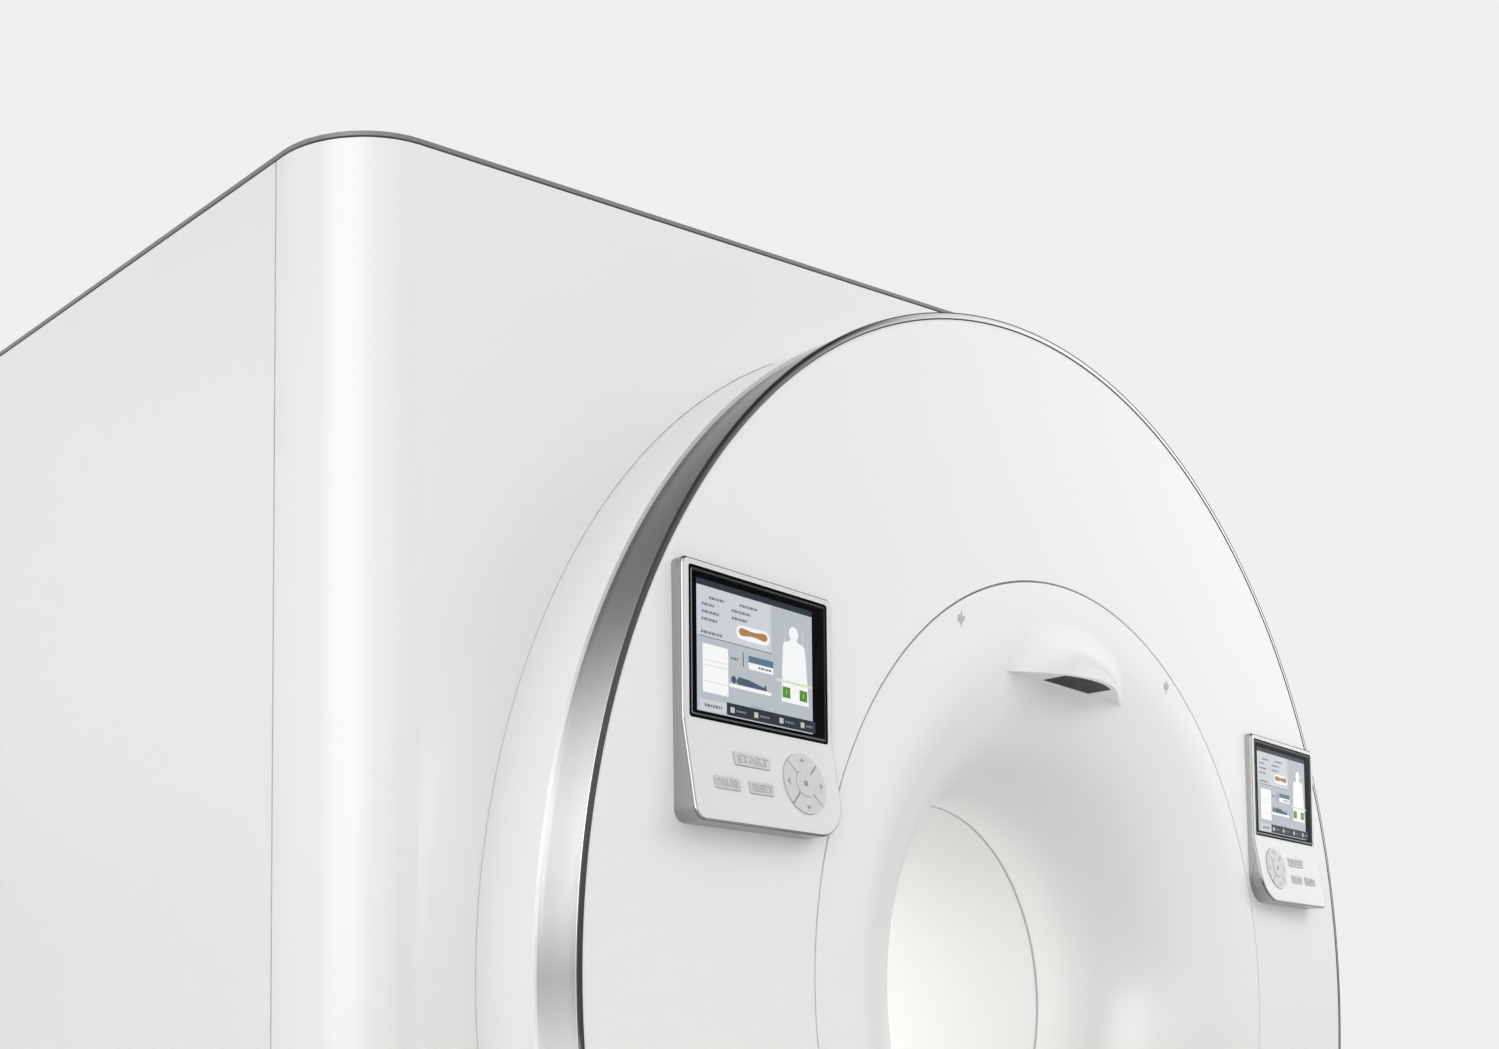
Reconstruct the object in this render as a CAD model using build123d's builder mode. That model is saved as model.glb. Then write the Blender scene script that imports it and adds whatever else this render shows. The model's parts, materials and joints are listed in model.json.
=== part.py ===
"""Whole-body magnetic resonance scanner with its patient table.

Millimetres. +X is to the right seen from the front, +Y runs into the bore and +Z is up.
The origin lies on the floor under the centre of the magnet. The face disc looks along -Y.
"""

import os
from math import atan, ceil, cos, hypot, radians, sin, sqrt, tan

from build123d import *

os.makedirs("parts", exist_ok=True)

# Fits: flat faces touch, curved faces stand a seat gap apart, keys have a gap all round
seat_gap = 0.3
seam_gap = 0.8
panel_gap = 3
key_gap = 0.3
frame_gap = 0.2

# Gantry as a whole: the bore, the flare round it and the panels set the disc, and the disc
# sets the width of the covers and the height of the axis
bore_radius = 325
disc_front = -925
rear_face = 925
disc_above_floor = 45
side_beyond_disc = 187
skirt_height = 60

# Body covers
cover_setback = 175
side_seam_setback = 300
rear_wrap = 110
eave_below_disc = 73
roof_slope = radians(8.42)
shoulder_from_middle = 128
front_corner_radius = 110
rear_corner_radius = 70
skin = 6
trim_height = 5
trim_reveal = 2.5
plinth_inset = 42
plinth_wall = 8

# Face disc with its metal band, and the neck behind it
band_depth = 73
band_taper = 7.5
band_thickness = 10
band_edge_break = 2
bead_inset = 1
bead_width = 11
bead_height = 5
shadow_gap = 2.5
face_bulge = 10
face_step = 4
face_edge_radius = 4
face_bed = 4
neck_inset = 2
neck_wall = 12
neck_lip_radius = 4
neck_flange = 6
neck_flange_on_vessel = 100
web_thickness = 6
standoff_radius = 16
standoff_count = 8
standoff_inside_flange = 45

# Flared mouths and bore tube
flare_width = 309
flare_depth = 280
flare_fullness = 2.5
flare_steps = 12
flare_wall = 6
mouth_flange = 20
bore_ring_width = 4
bore_ring_proud = 0.6
liner_wall = 6
rear_mouth_radius = 520
rear_flare_depth = 225

# Hood over the bore
hood_below_seam = 153
hood_half_width = 172
hood_height = 113
hood_reach = 74
hood_fall = 1.3
hood_taper = 0.7
hood_shoulder = 0.66
hood_tip_half_width = 20
hood_tip_reach = 0.6
hood_root = 12
hood_steps = 5
window_half_width = 66
window_root = 1
window_corner_reach = 42
window_reach = 56
window_recess = 5
window_inset = 1

# Magnet
coil_wall = 18
coil_behind_throat = 95
coil_before_rear_throat = 140
gradient_wall = 105
gradient_before_throat = 35
gradient_before_rear_throat = 10
vessel_inside_disc = 100
vessel_behind_cover = 30
vessel_before_rear = 205
vessel_edge_radius = 60
foot_x = 620
foot_y = 500
foot_width = 190
foot_depth = 220
foot_plate_size = 320
foot_plate_height = 22
anchor_offset = 130
anchor_hole_radius = 13
turret_radius = 140
turret_height = 110
turret_angle = radians(40)
cold_head_y = -180
cold_head_flange_radius = 115
cold_head_flange_height = 26
cold_head_body_radius = 78
cold_head_body_height = 190
cold_head_motor_radius = 58
cold_head_motor_height = 110

# Frame inside the covers
hoop_width = 50
hoop_depth = 40
frame_rail_size = 40
left_rail_below_eave = 122
right_rail_below_iso = 70

# Control panels, measured from the centre of the magnet and from the disc's front plane
panel_over_seam = 29.25
panel_inside_rim = 4.2
panel_top = 493
panel_width = 272.5
panel_height = 311
panel_proud = 20
panel_foot_proud = 42
keypad_height = 120
panel_edge_radius = 4
panel_corner_radius = 10
panel_outer_foot_radius = 16
panel_inner_foot_radius = 52
bezel_width = 250
bezel_height = 179
bezel_top_margin = 9
bezel_thickness = 6
bezel_recess = 0.6
bezel_corner_radius = 4
screen_width = 208
screen_height = 156
screen_left_margin = 13.5
screen_bottom_margin = 9.5
screen_thickness = 1
screen_recess = 0.3
key_pocket_depth = 7
key_floor_gap = 1.5
key_proud = 2
key_corner_radius = 2
start_key_size = (63, 16)
small_key_size = (43, 15)
start_key_from_outside = 109.5
start_key_rise = 83
outer_key_from_outside = 60
inner_key_from_outside = 119.5
small_key_rise = 49.5
pad_from_outside = 202
pad_rise = 65.5
pad_radius = 39
pad_hub_radius = 17
pad_hub_proud = 3
pad_split = 1.6

# Patient table
table_gap = 25
table_length = 2240
top_width = 430
top_below_iso = 150
top_thickness = 38
top_dish = 12
top_edge_radius = 12
top_rim = 26
mat_thickness = 40
deck_width = 560
deck_height = 96
deck_foot_radius = 110
deck_edge_radius = 18
runner_width = 30
runner_height = 12
runner_spacing = 300
running_gap = 0.3
pedestal_length = 860
pedestal_width = 400
pedestal_from_head = 1120
pedestal_wall = 8
pedestal_corner_radius = 60
shroud_gap = 4
shroud_overlap = 55.7
lower_shroud_headroom = 14
upper_shroud_footroom = 24
base_plate_height = 40
base_plate_margin = 70
base_anchor_inset = 30
floor_duct_width = 220
floor_duct_height = 36
lift_bore_radius = 70
lift_wall = 12
lift_clearance = 0.05
cylinder_headroom = 24
ram_footroom = 10

# Bridge in the bore that carries the table top
bridge_runner_height = 7.7
bridge_reach = 240
bridge_rear_inset = 60

# Derived planes along the bore, front to back
band_rear = disc_front + band_depth
body_front = disc_front + cover_setback
side_seam = disc_front + side_seam_setback
rear_seam = rear_face - rear_wrap
face_top = disc_front - face_bulge
face_back = disc_front + face_bed
throat_front = face_top + flare_depth
throat_rear = rear_face - rear_flare_depth
vessel_front = body_front + vessel_behind_cover
vessel_rear = rear_face - vessel_before_rear

# Derived radii, from the bore outwards: the panel's top corner lies just inside the rim
seam_radius = bore_radius + flare_width
panel_center_x = seam_radius - panel_over_seam + panel_width / 2
panel_corner_reach = hypot(panel_center_x + panel_width / 2, panel_top)
rim_width = bead_inset + bead_width + shadow_gap
disc_radius = ceil(panel_corner_reach + panel_inside_rim + rim_width)
liner_outer = bore_radius + liner_wall
coil_inner = liner_outer + seat_gap
coil_outer = coil_inner + coil_wall
gradient_inner = coil_outer + seat_gap
gradient_outer = gradient_inner + gradient_wall
vessel_inner = gradient_outer + seat_gap
mouth_flange_outer = seam_radius + mouth_flange
bead_outer = disc_radius - bead_inset
bead_inner = bead_outer - bead_width
face_radius = bead_inner - shadow_gap
band_inner = disc_radius - band_thickness
neck_radius = disc_radius - neck_inset
vessel_radius = disc_radius - vessel_inside_disc
neck_flange_radius = vessel_radius - neck_flange_on_vessel
standoff_pitch_radius = neck_flange_radius - standoff_inside_flange

# Derived widths
half_width = disc_radius + side_beyond_disc
shoulder_radius = half_width - shoulder_from_middle

# Derived heights
iso_height = disc_radius + disc_above_floor
eave_height = iso_height + disc_radius - eave_below_disc
left_rail_height = eave_height - left_rail_below_eave
right_rail_height = iso_height - right_rail_below_iso
top_height = iso_height - top_below_iso
roof_rise = tan(roof_slope)
trim_stack = trim_height + trim_reveal
shoulder_height = (
    eave_height
    + roof_rise * (2 * half_width - shoulder_radius)
    - shoulder_radius / cos(roof_slope)
)
far_above = 2 * eave_height

bore_axis = Axis((0, 0, iso_height), (0, 1, 0))
section = Plane(origin=(0, 0, iso_height), x_dir=(0, 1, 0), z_dir=(1, 0, 0))


def body_block(left_in, top_in, right_in, plan_in, low=skirt_height):
    """Solid body of the gantry, its left side, roof, right side and plan drawn in as given."""
    left = left_in - half_width
    right = half_width - right_in
    drop = top_in / cos(roof_slope)
    with BuildPart() as block:
        with BuildSketch(Plane.XY.offset(low)) as plan:
            with Locations((0, (body_front + rear_face) / 2)):
                Rectangle(2 * (half_width - plan_in), rear_face - body_front - 2 * plan_in)
            front_corners = plan.vertices().group_by(Axis.Y)[0]
            rear_corners = plan.vertices().group_by(Axis.Y)[-1]
            fillet(front_corners, radius=front_corner_radius - plan_in)
            fillet(rear_corners, radius=rear_corner_radius - plan_in)
        extrude(amount=far_above)
        with BuildSketch(Plane.XZ.offset(-rear_face - skin)) as outline:
            with BuildLine():
                Polyline(
                    (left, low),
                    (right, low),
                    (right, eave_height + roof_rise * (right + half_width) - drop),
                    (left, eave_height + roof_rise * (left + half_width) - drop),
                    close=True,
                )
            make_face()
            crown = outline.vertices().group_by(Axis.Y)[-1]
            fillet(crown, radius=shoulder_radius - top_in)
        extrude(amount=rear_face - body_front + 2 * skin, mode=Mode.INTERSECT)
    return block.part


def cut_between(y_from, y_to, z_from, z_to):
    """Take away everything of the open part between two depths and two heights."""
    with Locations((0, (y_from + y_to) / 2, (z_from + z_to) / 2)):
        Box(4 * half_width, y_to - y_from, z_to - z_from, mode=Mode.SUBTRACT)


def flare_curve(mouth_radius, mouth_y, throat_y, shift, inner_radius=bore_radius):
    """Superellipse quarter from the mouth to the bore, moved out and in by a wall."""
    inward = 1 if throat_y > mouth_y else -1
    points = []
    for step in range(flare_steps + 1):
        turn = radians(90) * step / flare_steps
        drop = (mouth_radius - inner_radius) * sin(turn) ** (2 / flare_fullness)
        reach = 1 - abs(cos(turn)) ** (2 / flare_fullness)
        depth = mouth_y + (throat_y - mouth_y) * reach
        points.append((depth + inward * shift, mouth_radius - drop + shift))
    points[-1] = (throat_y, inner_radius + shift)
    return Spline(*points, tangents=((0, -1), (inward, 0)))


def tube(inner, outer, y_from, y_to):
    """Plain tube about the bore, added to the open part."""
    with BuildSketch(section) as wall:
        with Locations(((y_from + y_to) / 2, (inner + outer) / 2)):
            Rectangle(y_to - y_from, outer - inner)
    revolve(wall.sketch, axis=bore_axis)


# Body blocks that the covers are cut from
block_full = body_block(0, 0, 0, 0)
block_high = body_block(0, trim_stack, trim_stack, 0)
block_low = body_block(0, trim_stack, 0, 0)
hollow = body_block(skin, -skin, skin, skin, low=skirt_height - skin)
trim_under = body_block(-skin, trim_height, trim_height, -skin)
trim_hollow = body_block(skin, -skin, -skin, skin)
roof_block = body_block(skin + seat_gap, 0, 0, skin + seat_gap)
roof_under = body_block(-skin, skin, skin, -skin)
frame_inset = skin + frame_gap
frame_block = body_block(
    frame_inset, frame_inset, frame_inset, frame_inset, low=skirt_height + skin
)
frame_hollow = body_block(skin + hoop_width, skin + hoop_width, skin + hoop_width, 0)

# Wall of the covers all round: drawn in under the trim above the shoulder, full below it
with BuildPart() as cover_wall:
    add(block_high)
    cut_between(-2 * rear_face, 2 * rear_face, 0, shoulder_height)
with BuildPart() as cover_wall_low:
    add(block_low)
    cut_between(-2 * rear_face, 2 * rear_face, shoulder_height, far_above)
with BuildPart() as covers:
    add(cover_wall.part)
    add(cover_wall_low.part)
    add(hollow, mode=Mode.SUBTRACT)

# Front cover: the flat face and its two rounded corners, cut out round the neck
with BuildPart() as front_cover:
    add(covers.part)
    cut_between(side_seam - panel_gap / 2, 2 * rear_face, 0, far_above)
    with BuildSketch(Plane.XZ.offset(-body_front + skin)):
        with Locations((0, iso_height)):
            Circle(neck_radius + seam_gap)
    extrude(amount=-3 * skin, mode=Mode.SUBTRACT)
front_cover.part.label = "front_cover"
export_step(front_cover.part, "parts/front_cover.step")

# Left side cover, between the front seam and the rear seam
with BuildPart() as side_cover_left:
    add(covers.part)
    cut_between(-2 * rear_face, side_seam + panel_gap / 2, 0, far_above)
    cut_between(rear_seam - panel_gap / 2, 2 * rear_face, 0, far_above)
    with Locations((half_width, 0, eave_height)):
        Box(2 * half_width, 4 * rear_face, 4 * eave_height, mode=Mode.SUBTRACT)
side_cover_left.part.label = "side_cover_left"
export_step(side_cover_left.part, "parts/side_cover_left.step")

# Right side cover, up to where the shoulder springs
with BuildPart() as side_cover_right:
    with BuildSketch(Plane.YZ.offset(half_width - skin)):
        with Locations(
            ((side_seam + rear_seam) / 2, (skirt_height + shoulder_height - panel_gap) / 2)
        ):
            Rectangle(
                rear_seam - side_seam - panel_gap,
                shoulder_height - panel_gap - skirt_height,
            )
    extrude(amount=skin)
side_cover_right.part.label = "side_cover_right"
export_step(side_cover_right.part, "parts/side_cover_right.step")

# Roof cover: one sheet up the slope and over the right shoulder
with BuildPart() as roof_cover:
    add(roof_block)
    add(roof_under, mode=Mode.SUBTRACT)
    cut_between(-2 * rear_face, 2 * rear_face, 0, shoulder_height)
roof_cover.part.label = "roof_cover"
export_step(roof_cover.part, "parts/roof_cover.step")

# Metal trim strip along the top edge of the front, left and rear covers
with BuildPart() as top_trim:
    add(block_full)
    add(trim_under, mode=Mode.SUBTRACT)
    add(trim_hollow, mode=Mode.SUBTRACT)
    cut_between(-2 * rear_face, 2 * rear_face, 0, shoulder_height)
top_trim.part.label = "top_trim"
export_step(top_trim.part, "parts/top_trim.step")

# Rear cover, cut out round the rear mouth
with BuildPart() as rear_cover:
    add(covers.part)
    cut_between(-2 * rear_face, rear_seam + panel_gap / 2, 0, far_above)
    with BuildSketch(Plane.XZ.offset(-rear_face + 2 * skin)):
        with Locations((0, iso_height)):
            Circle(rear_mouth_radius + seam_gap)
    extrude(amount=-3 * skin, mode=Mode.SUBTRACT)
rear_cover.part.label = "rear_cover"
export_step(rear_cover.part, "parts/rear_cover.step")

# Frame inside the covers: two hoops on the plinth, joined by two rails
front_hoop_from = body_front + front_corner_radius
rear_hoop_from = rear_seam - hoop_depth / 2
with BuildPart() as cover_frame:
    add(frame_block)
    add(frame_hollow, mode=Mode.SUBTRACT)
    cut_between(-2 * rear_face, front_hoop_from, 0, far_above)
    cut_between(front_hoop_from + hoop_depth, rear_hoop_from, 0, far_above)
    cut_between(rear_hoop_from + hoop_depth, 2 * rear_face, 0, far_above)
    for side, rail_height in ((-1, left_rail_height), (1, right_rail_height)):
        with Locations(
            (
                side * (half_width - frame_inset - frame_rail_size / 2),
                (front_hoop_from + rear_hoop_from + hoop_depth) / 2,
                rail_height + frame_rail_size / 2,
            )
        ):
            Box(frame_rail_size, rear_hoop_from - front_hoop_from, frame_rail_size)
cover_frame.part.label = "cover_frame"
export_step(cover_frame.part, "parts/cover_frame.step")

# Plinth: a kick band set back under the covers
with BuildPart() as plinth:
    with BuildSketch() as band_plan:
        with Locations((0, (body_front + rear_face) / 2)):
            RectangleRounded(
                2 * (half_width - plinth_inset),
                rear_face - body_front - 2 * plinth_inset,
                rear_corner_radius - plinth_inset,
            )
            RectangleRounded(
                2 * (half_width - plinth_inset - plinth_wall),
                rear_face - body_front - 2 * (plinth_inset + plinth_wall),
                rear_corner_radius - plinth_inset - plinth_wall,
                mode=Mode.SUBTRACT,
            )
    extrude(amount=skirt_height + skin)
plinth.part.label = "plinth"
export_step(plinth.part, "parts/plinth.step")

# Metal band round the disc, drawn in a little towards the rear
with BuildPart() as accent_band:
    with BuildSketch(section):
        with BuildLine():
            Polyline(
                (disc_front, band_inner),
                (disc_front, disc_radius - band_edge_break),
                (disc_front + band_edge_break, disc_radius),
                (band_rear, disc_radius - band_taper),
                (band_rear, band_inner),
                close=True,
            )
        make_face()
    revolve(axis=bore_axis)
accent_band.part.label = "accent_band"
export_step(accent_band.part, "parts/accent_band.step")

# Polished bead standing on the band's front edge
with BuildPart() as rim_bead:
    with BuildSketch(section) as bead_section:
        with Locations((disc_front - bead_height / 2, (bead_outer + bead_inner) / 2)):
            Rectangle(bead_height, bead_width)
        fillet(bead_section.vertices().group_by(Axis.X)[0], radius=bead_height / 3)
    revolve(axis=bore_axis)
rim_bead.part.label = "rim_bead"
export_step(rim_bead.part, "parts/rim_bead.step")

# Neck between the disc and the front cover, with the flange that bolts to the magnet
with BuildPart() as neck_collar:
    with BuildSketch(section) as neck_section:
        with BuildLine():
            Polyline(
                (band_rear, neck_radius - neck_wall),
                (band_rear, neck_radius),
                (vessel_front, neck_radius),
                (vessel_front, neck_flange_radius),
                (vessel_front - neck_flange, neck_flange_radius),
                (vessel_front - neck_flange, neck_radius - neck_wall),
                close=True,
            )
        make_face()
        lip = neck_section.vertices().group_by(Axis.X)[0].sort_by(Axis.Y)[-1]
        fillet(lip, radius=neck_lip_radius)
    revolve(axis=bore_axis)
neck_collar.part.label = "neck_collar"
export_step(neck_collar.part, "parts/neck_collar.step")

# Web behind the face, on standoffs from the magnet
with BuildPart() as disc_web:
    tube(mouth_flange_outer + seat_gap, band_inner - seat_gap, face_back, face_back + web_thickness)
    with BuildSketch(Plane.XZ.offset(-face_back - web_thickness)):
        with Locations((0, iso_height)):
            with PolarLocations(standoff_pitch_radius, standoff_count, start_angle=22.5):
                Circle(standoff_radius)
    extrude(amount=face_back + web_thickness - vessel_front)
disc_web.part.label = "disc_web"
export_step(disc_web.part, "parts/disc_web.step")


# Face disc: slightly domed front, flat back, an opening for each panel
panel_foot_z = iso_height + panel_top - panel_height


def draw_panel(sketch, side, grow):
    """Draw one panel's outline in the open sketch, foot edge on the sketch's own X axis."""
    with Locations((0, panel_height / 2)):
        Rectangle(panel_width + 2 * grow, panel_height + 2 * grow)
    head = sketch.vertices().group_by(Axis.Y)[-1]
    fillet(head, radius=panel_corner_radius + grow)
    foot = sketch.vertices().group_by(Axis.Y)[0].sort_by(Axis.X)
    inner = foot[0] if side > 0 else foot[-1]
    fillet(inner, radius=panel_inner_foot_radius + grow)
    foot = sketch.vertices().group_by(Axis.Y)[0].sort_by(Axis.X)
    outer = foot[-1] if side > 0 else foot[0]
    fillet(outer, radius=panel_outer_foot_radius + grow)


def cut_panel_openings():
    """Cut the opening of each panel out of the open part, from the back of the face on."""
    for side in (-1, 1):
        opening_plane = Plane(
            origin=(side * panel_center_x, face_back, panel_foot_z),
            x_dir=(1, 0, 0),
            z_dir=(0, -1, 0),
        )
        with BuildSketch(opening_plane) as opening:
            draw_panel(opening, side, seat_gap)
        extrude(opening.sketch, amount=2 * panel_foot_proud, mode=Mode.SUBTRACT)


with BuildPart() as face_disc:
    with BuildSketch(section):
        with BuildLine():
            crest = (disc_front - face_step, face_radius - face_edge_radius)
            side_top = (disc_front - face_step + face_edge_radius, face_radius)
            Polyline(
                side_top,
                (face_back, face_radius),
                (face_back, seam_radius + seam_gap / 2),
                (face_top, seam_radius + seam_gap / 2),
                crest,
            )
            RadiusArc(crest, side_top, face_edge_radius)
        make_face()
    revolve(axis=bore_axis)
    cut_panel_openings()
face_disc.part.label = "face_disc"
export_step(face_disc.part, "parts/face_disc.step")

# Front mouth: the flare, its flange behind the face and the hood moulded over it
lip_z = iso_height + seam_radius - hood_below_seam
rim_back = face_top + flare_wall


def flare_depth_at(radius):
    """Depth of the front flare's surface at a radius, from the same superellipse."""
    share = (seam_radius - radius) / (seam_radius - bore_radius)
    return face_top + flare_depth * (1 - (1 - share**flare_fullness) ** (1 / flare_fullness))


with BuildPart() as bell_mouth_front:
    with BuildSketch(section):
        with BuildLine():
            front_curve = flare_curve(seam_radius - seam_gap / 2, face_top, throat_front, 0)
            back_curve = flare_curve(seam_radius - mouth_flange, rim_back, throat_front, 0, liner_outer)
            Polyline(
                front_curve @ 0,
                (face_back, seam_radius - seam_gap / 2),
                (face_back, mouth_flange_outer),
                (face_back + flare_wall, mouth_flange_outer),
                (face_back + flare_wall, seam_radius - mouth_flange),
                back_curve @ 0,
            )
            Line(front_curve @ 1, back_curve @ 1)
        make_face()
    revolve(axis=bore_axis)
    for step in range(hood_steps + 1):
        fade = 1 - step / hood_steps
        half = hood_tip_half_width + (hood_half_width - hood_tip_half_width) * fade**hood_taper
        above_iso = lip_z - iso_height + hood_height * (1 - fade)
        foot = flare_depth_at(hypot(half, above_iso))
        crest = flare_depth_at(above_iso) - hood_reach * fade**hood_fall - hood_tip_reach
        flank = foot + hood_shoulder * (crest - foot)
        with BuildSketch(Plane.XY.offset(iso_height + above_iso)):
            with BuildLine():
                Spline(
                    (-half, foot),
                    (-half / 2, flank),
                    (0, crest),
                    (half / 2, flank),
                    (half, foot),
                    tangents=((1, 0), (1, 0)),
                )
                Polyline(
                    (half, foot),
                    (half, foot + hood_root),
                    (-half, foot + hood_root),
                    (-half, foot),
                )
            make_face()
    loft()
    with BuildSketch(Plane.XY.offset(lip_z)):
        with BuildLine():
            Polyline(
                (-window_half_width, disc_front - window_corner_reach),
                (-window_half_width, disc_front - window_root),
                (window_half_width, disc_front - window_root),
                (window_half_width, disc_front - window_corner_reach),
            )
            ThreePointArc(
                (window_half_width, disc_front - window_corner_reach),
                (0, disc_front - window_reach),
                (-window_half_width, disc_front - window_corner_reach),
            )
        make_face()
    extrude(amount=window_recess, mode=Mode.SUBTRACT)
    cut_panel_openings()
bell_mouth_front.part.label = "bell_mouth_front"
export_step(bell_mouth_front.part, "parts/bell_mouth_front.step")

# Dark window let into the underside of the hood
with BuildPart() as hood_window:
    with BuildSketch(Plane.XY.offset(lip_z + window_inset)):
        with BuildLine():
            Polyline(
                (-window_half_width, disc_front - window_corner_reach),
                (-window_half_width, disc_front - window_root),
                (window_half_width, disc_front - window_root),
                (window_half_width, disc_front - window_corner_reach),
            )
            ThreePointArc(
                (window_half_width, disc_front - window_corner_reach),
                (0, disc_front - window_reach),
                (-window_half_width, disc_front - window_corner_reach),
            )
        make_face()
        offset(amount=-seat_gap, mode=Mode.REPLACE)
    extrude(amount=window_recess - window_inset)
hood_window.part.label = "hood_window"
export_step(hood_window.part, "parts/hood_window.step")

# Bore tube between two thin rings that stand a little proud of it
with BuildPart() as bore_ring_front:
    tube(
        bore_radius - bore_ring_proud,
        liner_outer,
        throat_front,
        throat_front + bore_ring_width,
    )
bore_ring_front.part.label = "bore_ring_front"
export_step(bore_ring_front.part, "parts/bore_ring_front.step")

with BuildPart() as bore_liner:
    tube(
        bore_radius,
        liner_outer,
        throat_front + bore_ring_width,
        throat_rear - bore_ring_width,
    )
bore_liner.part.label = "bore_liner"
export_step(bore_liner.part, "parts/bore_liner.step")

with BuildPart() as bore_ring_rear:
    tube(
        bore_radius - bore_ring_proud,
        liner_outer,
        throat_rear - bore_ring_width,
        throat_rear,
    )
bore_ring_rear.part.label = "bore_ring_rear"
export_step(bore_ring_rear.part, "parts/bore_ring_rear.step")

# Rear mouth, with its flange behind the rear cover
with BuildPart() as bell_mouth_rear:
    with BuildSketch(section):
        with BuildLine():
            front_curve = flare_curve(rear_mouth_radius, rear_face, throat_rear, 0)
            back_curve = flare_curve(
                rear_mouth_radius - mouth_flange,
                rear_face - flare_wall,
                throat_rear,
                0,
                liner_outer,
            )
            Polyline(
                front_curve @ 0,
                (rear_face - skin, rear_mouth_radius),
                (rear_face - skin, rear_mouth_radius + mouth_flange),
                (rear_face - skin - flare_wall, rear_mouth_radius + mouth_flange),
                (rear_face - skin - flare_wall, rear_mouth_radius - mouth_flange),
                back_curve @ 0,
            )
            Line(front_curve @ 1, back_curve @ 1)
        make_face()
    revolve(axis=bore_axis)
bell_mouth_rear.part.label = "bell_mouth_rear"
export_step(bell_mouth_rear.part, "parts/bell_mouth_rear.step")

# Coils round the bore tube
with BuildPart() as rf_body_coil:
    tube(
        coil_inner,
        coil_outer,
        throat_front + coil_behind_throat,
        throat_rear - coil_before_rear_throat,
    )
rf_body_coil.part.label = "rf_body_coil"
export_step(rf_body_coil.part, "parts/rf_body_coil.step")

with BuildPart() as gradient_coil:
    tube(
        gradient_inner,
        gradient_outer,
        throat_front - gradient_before_throat,
        throat_rear - gradient_before_rear_throat,
    )
gradient_coil.part.label = "gradient_coil"
export_step(gradient_coil.part, "parts/gradient_coil.step")

# Magnet: the vacuum vessel with the turret for its cold head
turret_plane = Plane(
    origin=(0, cold_head_y, iso_height),
    x_dir=(0, 1, 0),
    z_dir=(-cos(turret_angle), 0, sin(turret_angle)),
)
turret_top = vessel_radius + turret_height
with BuildPart() as magnet_vessel:
    with BuildSketch(section) as vessel_section:
        with Locations(((vessel_front + vessel_rear) / 2, (vessel_inner + vessel_radius) / 2)):
            Rectangle(vessel_rear - vessel_front, vessel_radius - vessel_inner)
        fillet(vessel_section.vertices().group_by(Axis.Y)[-1], radius=vessel_edge_radius)
    revolve(axis=bore_axis)
    with BuildSketch(turret_plane.offset(vessel_radius - turret_height)):
        Circle(turret_radius)
    extrude(amount=2 * turret_height)
magnet_vessel.part.label = "magnet_vessel"
export_step(magnet_vessel.part, "parts/magnet_vessel.step")

# Cold head: flange, cylinder and drive
with BuildPart() as cold_head:
    with BuildSketch(turret_plane.offset(turret_top)):
        Circle(cold_head_flange_radius)
    extrude(amount=cold_head_flange_height)
    with BuildSketch(turret_plane.offset(turret_top + cold_head_flange_height)):
        Circle(cold_head_body_radius)
    extrude(amount=cold_head_body_height)
    with BuildSketch(
        turret_plane.offset(turret_top + cold_head_flange_height + cold_head_body_height)
    ):
        Circle(cold_head_motor_radius)
    extrude(amount=cold_head_motor_height)
cold_head.part.label = "cold_head"
export_step(cold_head.part, "parts/cold_head.step")

# Four feet under the magnet, cut to its curve, each with an anchor hole
column_top = iso_height - sqrt(vessel_radius**2 - (foot_x + foot_width / 2) ** 2)
with BuildPart() as magnet_feet:
    for foot_side in (-1, 1):
        for foot_end in (-1, 1):
            with Locations((foot_side * foot_x, foot_end * foot_y, foot_plate_height / 2)):
                Box(foot_plate_size, foot_plate_size, foot_plate_height)
            with Locations((foot_side * foot_x, foot_end * foot_y, column_top / 2)):
                Box(foot_width, foot_depth, column_top)
            with Locations(
                (
                    foot_side * (foot_x + anchor_offset),
                    foot_end * (foot_y + anchor_offset),
                    foot_plate_height / 2,
                )
            ):
                Cylinder(anchor_hole_radius, 2 * foot_plate_height, mode=Mode.SUBTRACT)
    with BuildSketch(Plane.XZ.offset(-2 * rear_face)):
        with Locations((0, iso_height)):
            Circle(vessel_radius + seat_gap)
    extrude(amount=4 * rear_face, mode=Mode.SUBTRACT)
magnet_feet.part.label = "magnet_feet"
export_step(magnet_feet.part, "parts/magnet_feet.step")

# Bridge that carries the table top through the bore: a foam-cored beam on the bore rings
runner_top = top_height - top_thickness - running_gap
bridge_top = runner_top - bridge_runner_height
bridge_radius = bore_radius - bore_ring_proud - seat_gap
with BuildPart() as bore_bridge:
    with BuildSketch(Plane.XZ.offset(-throat_rear + bridge_rear_inset)):
        with Locations((0, iso_height)):
            Circle(bridge_radius)
        with Locations((0, bridge_top - bore_radius)):
            Rectangle(2 * bore_radius, 2 * bore_radius, mode=Mode.INTERSECT)
        with Locations((0, (bridge_top + runner_top) / 2)):
            with GridLocations(runner_spacing, 1, 2, 1):
                Rectangle(runner_width, runner_top - bridge_top)
    extrude(amount=throat_rear - bridge_rear_inset - throat_front + bridge_reach)
bore_bridge.part.label = "bore_bridge"
export_step(bore_bridge.part, "parts/bore_bridge.step")

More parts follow.
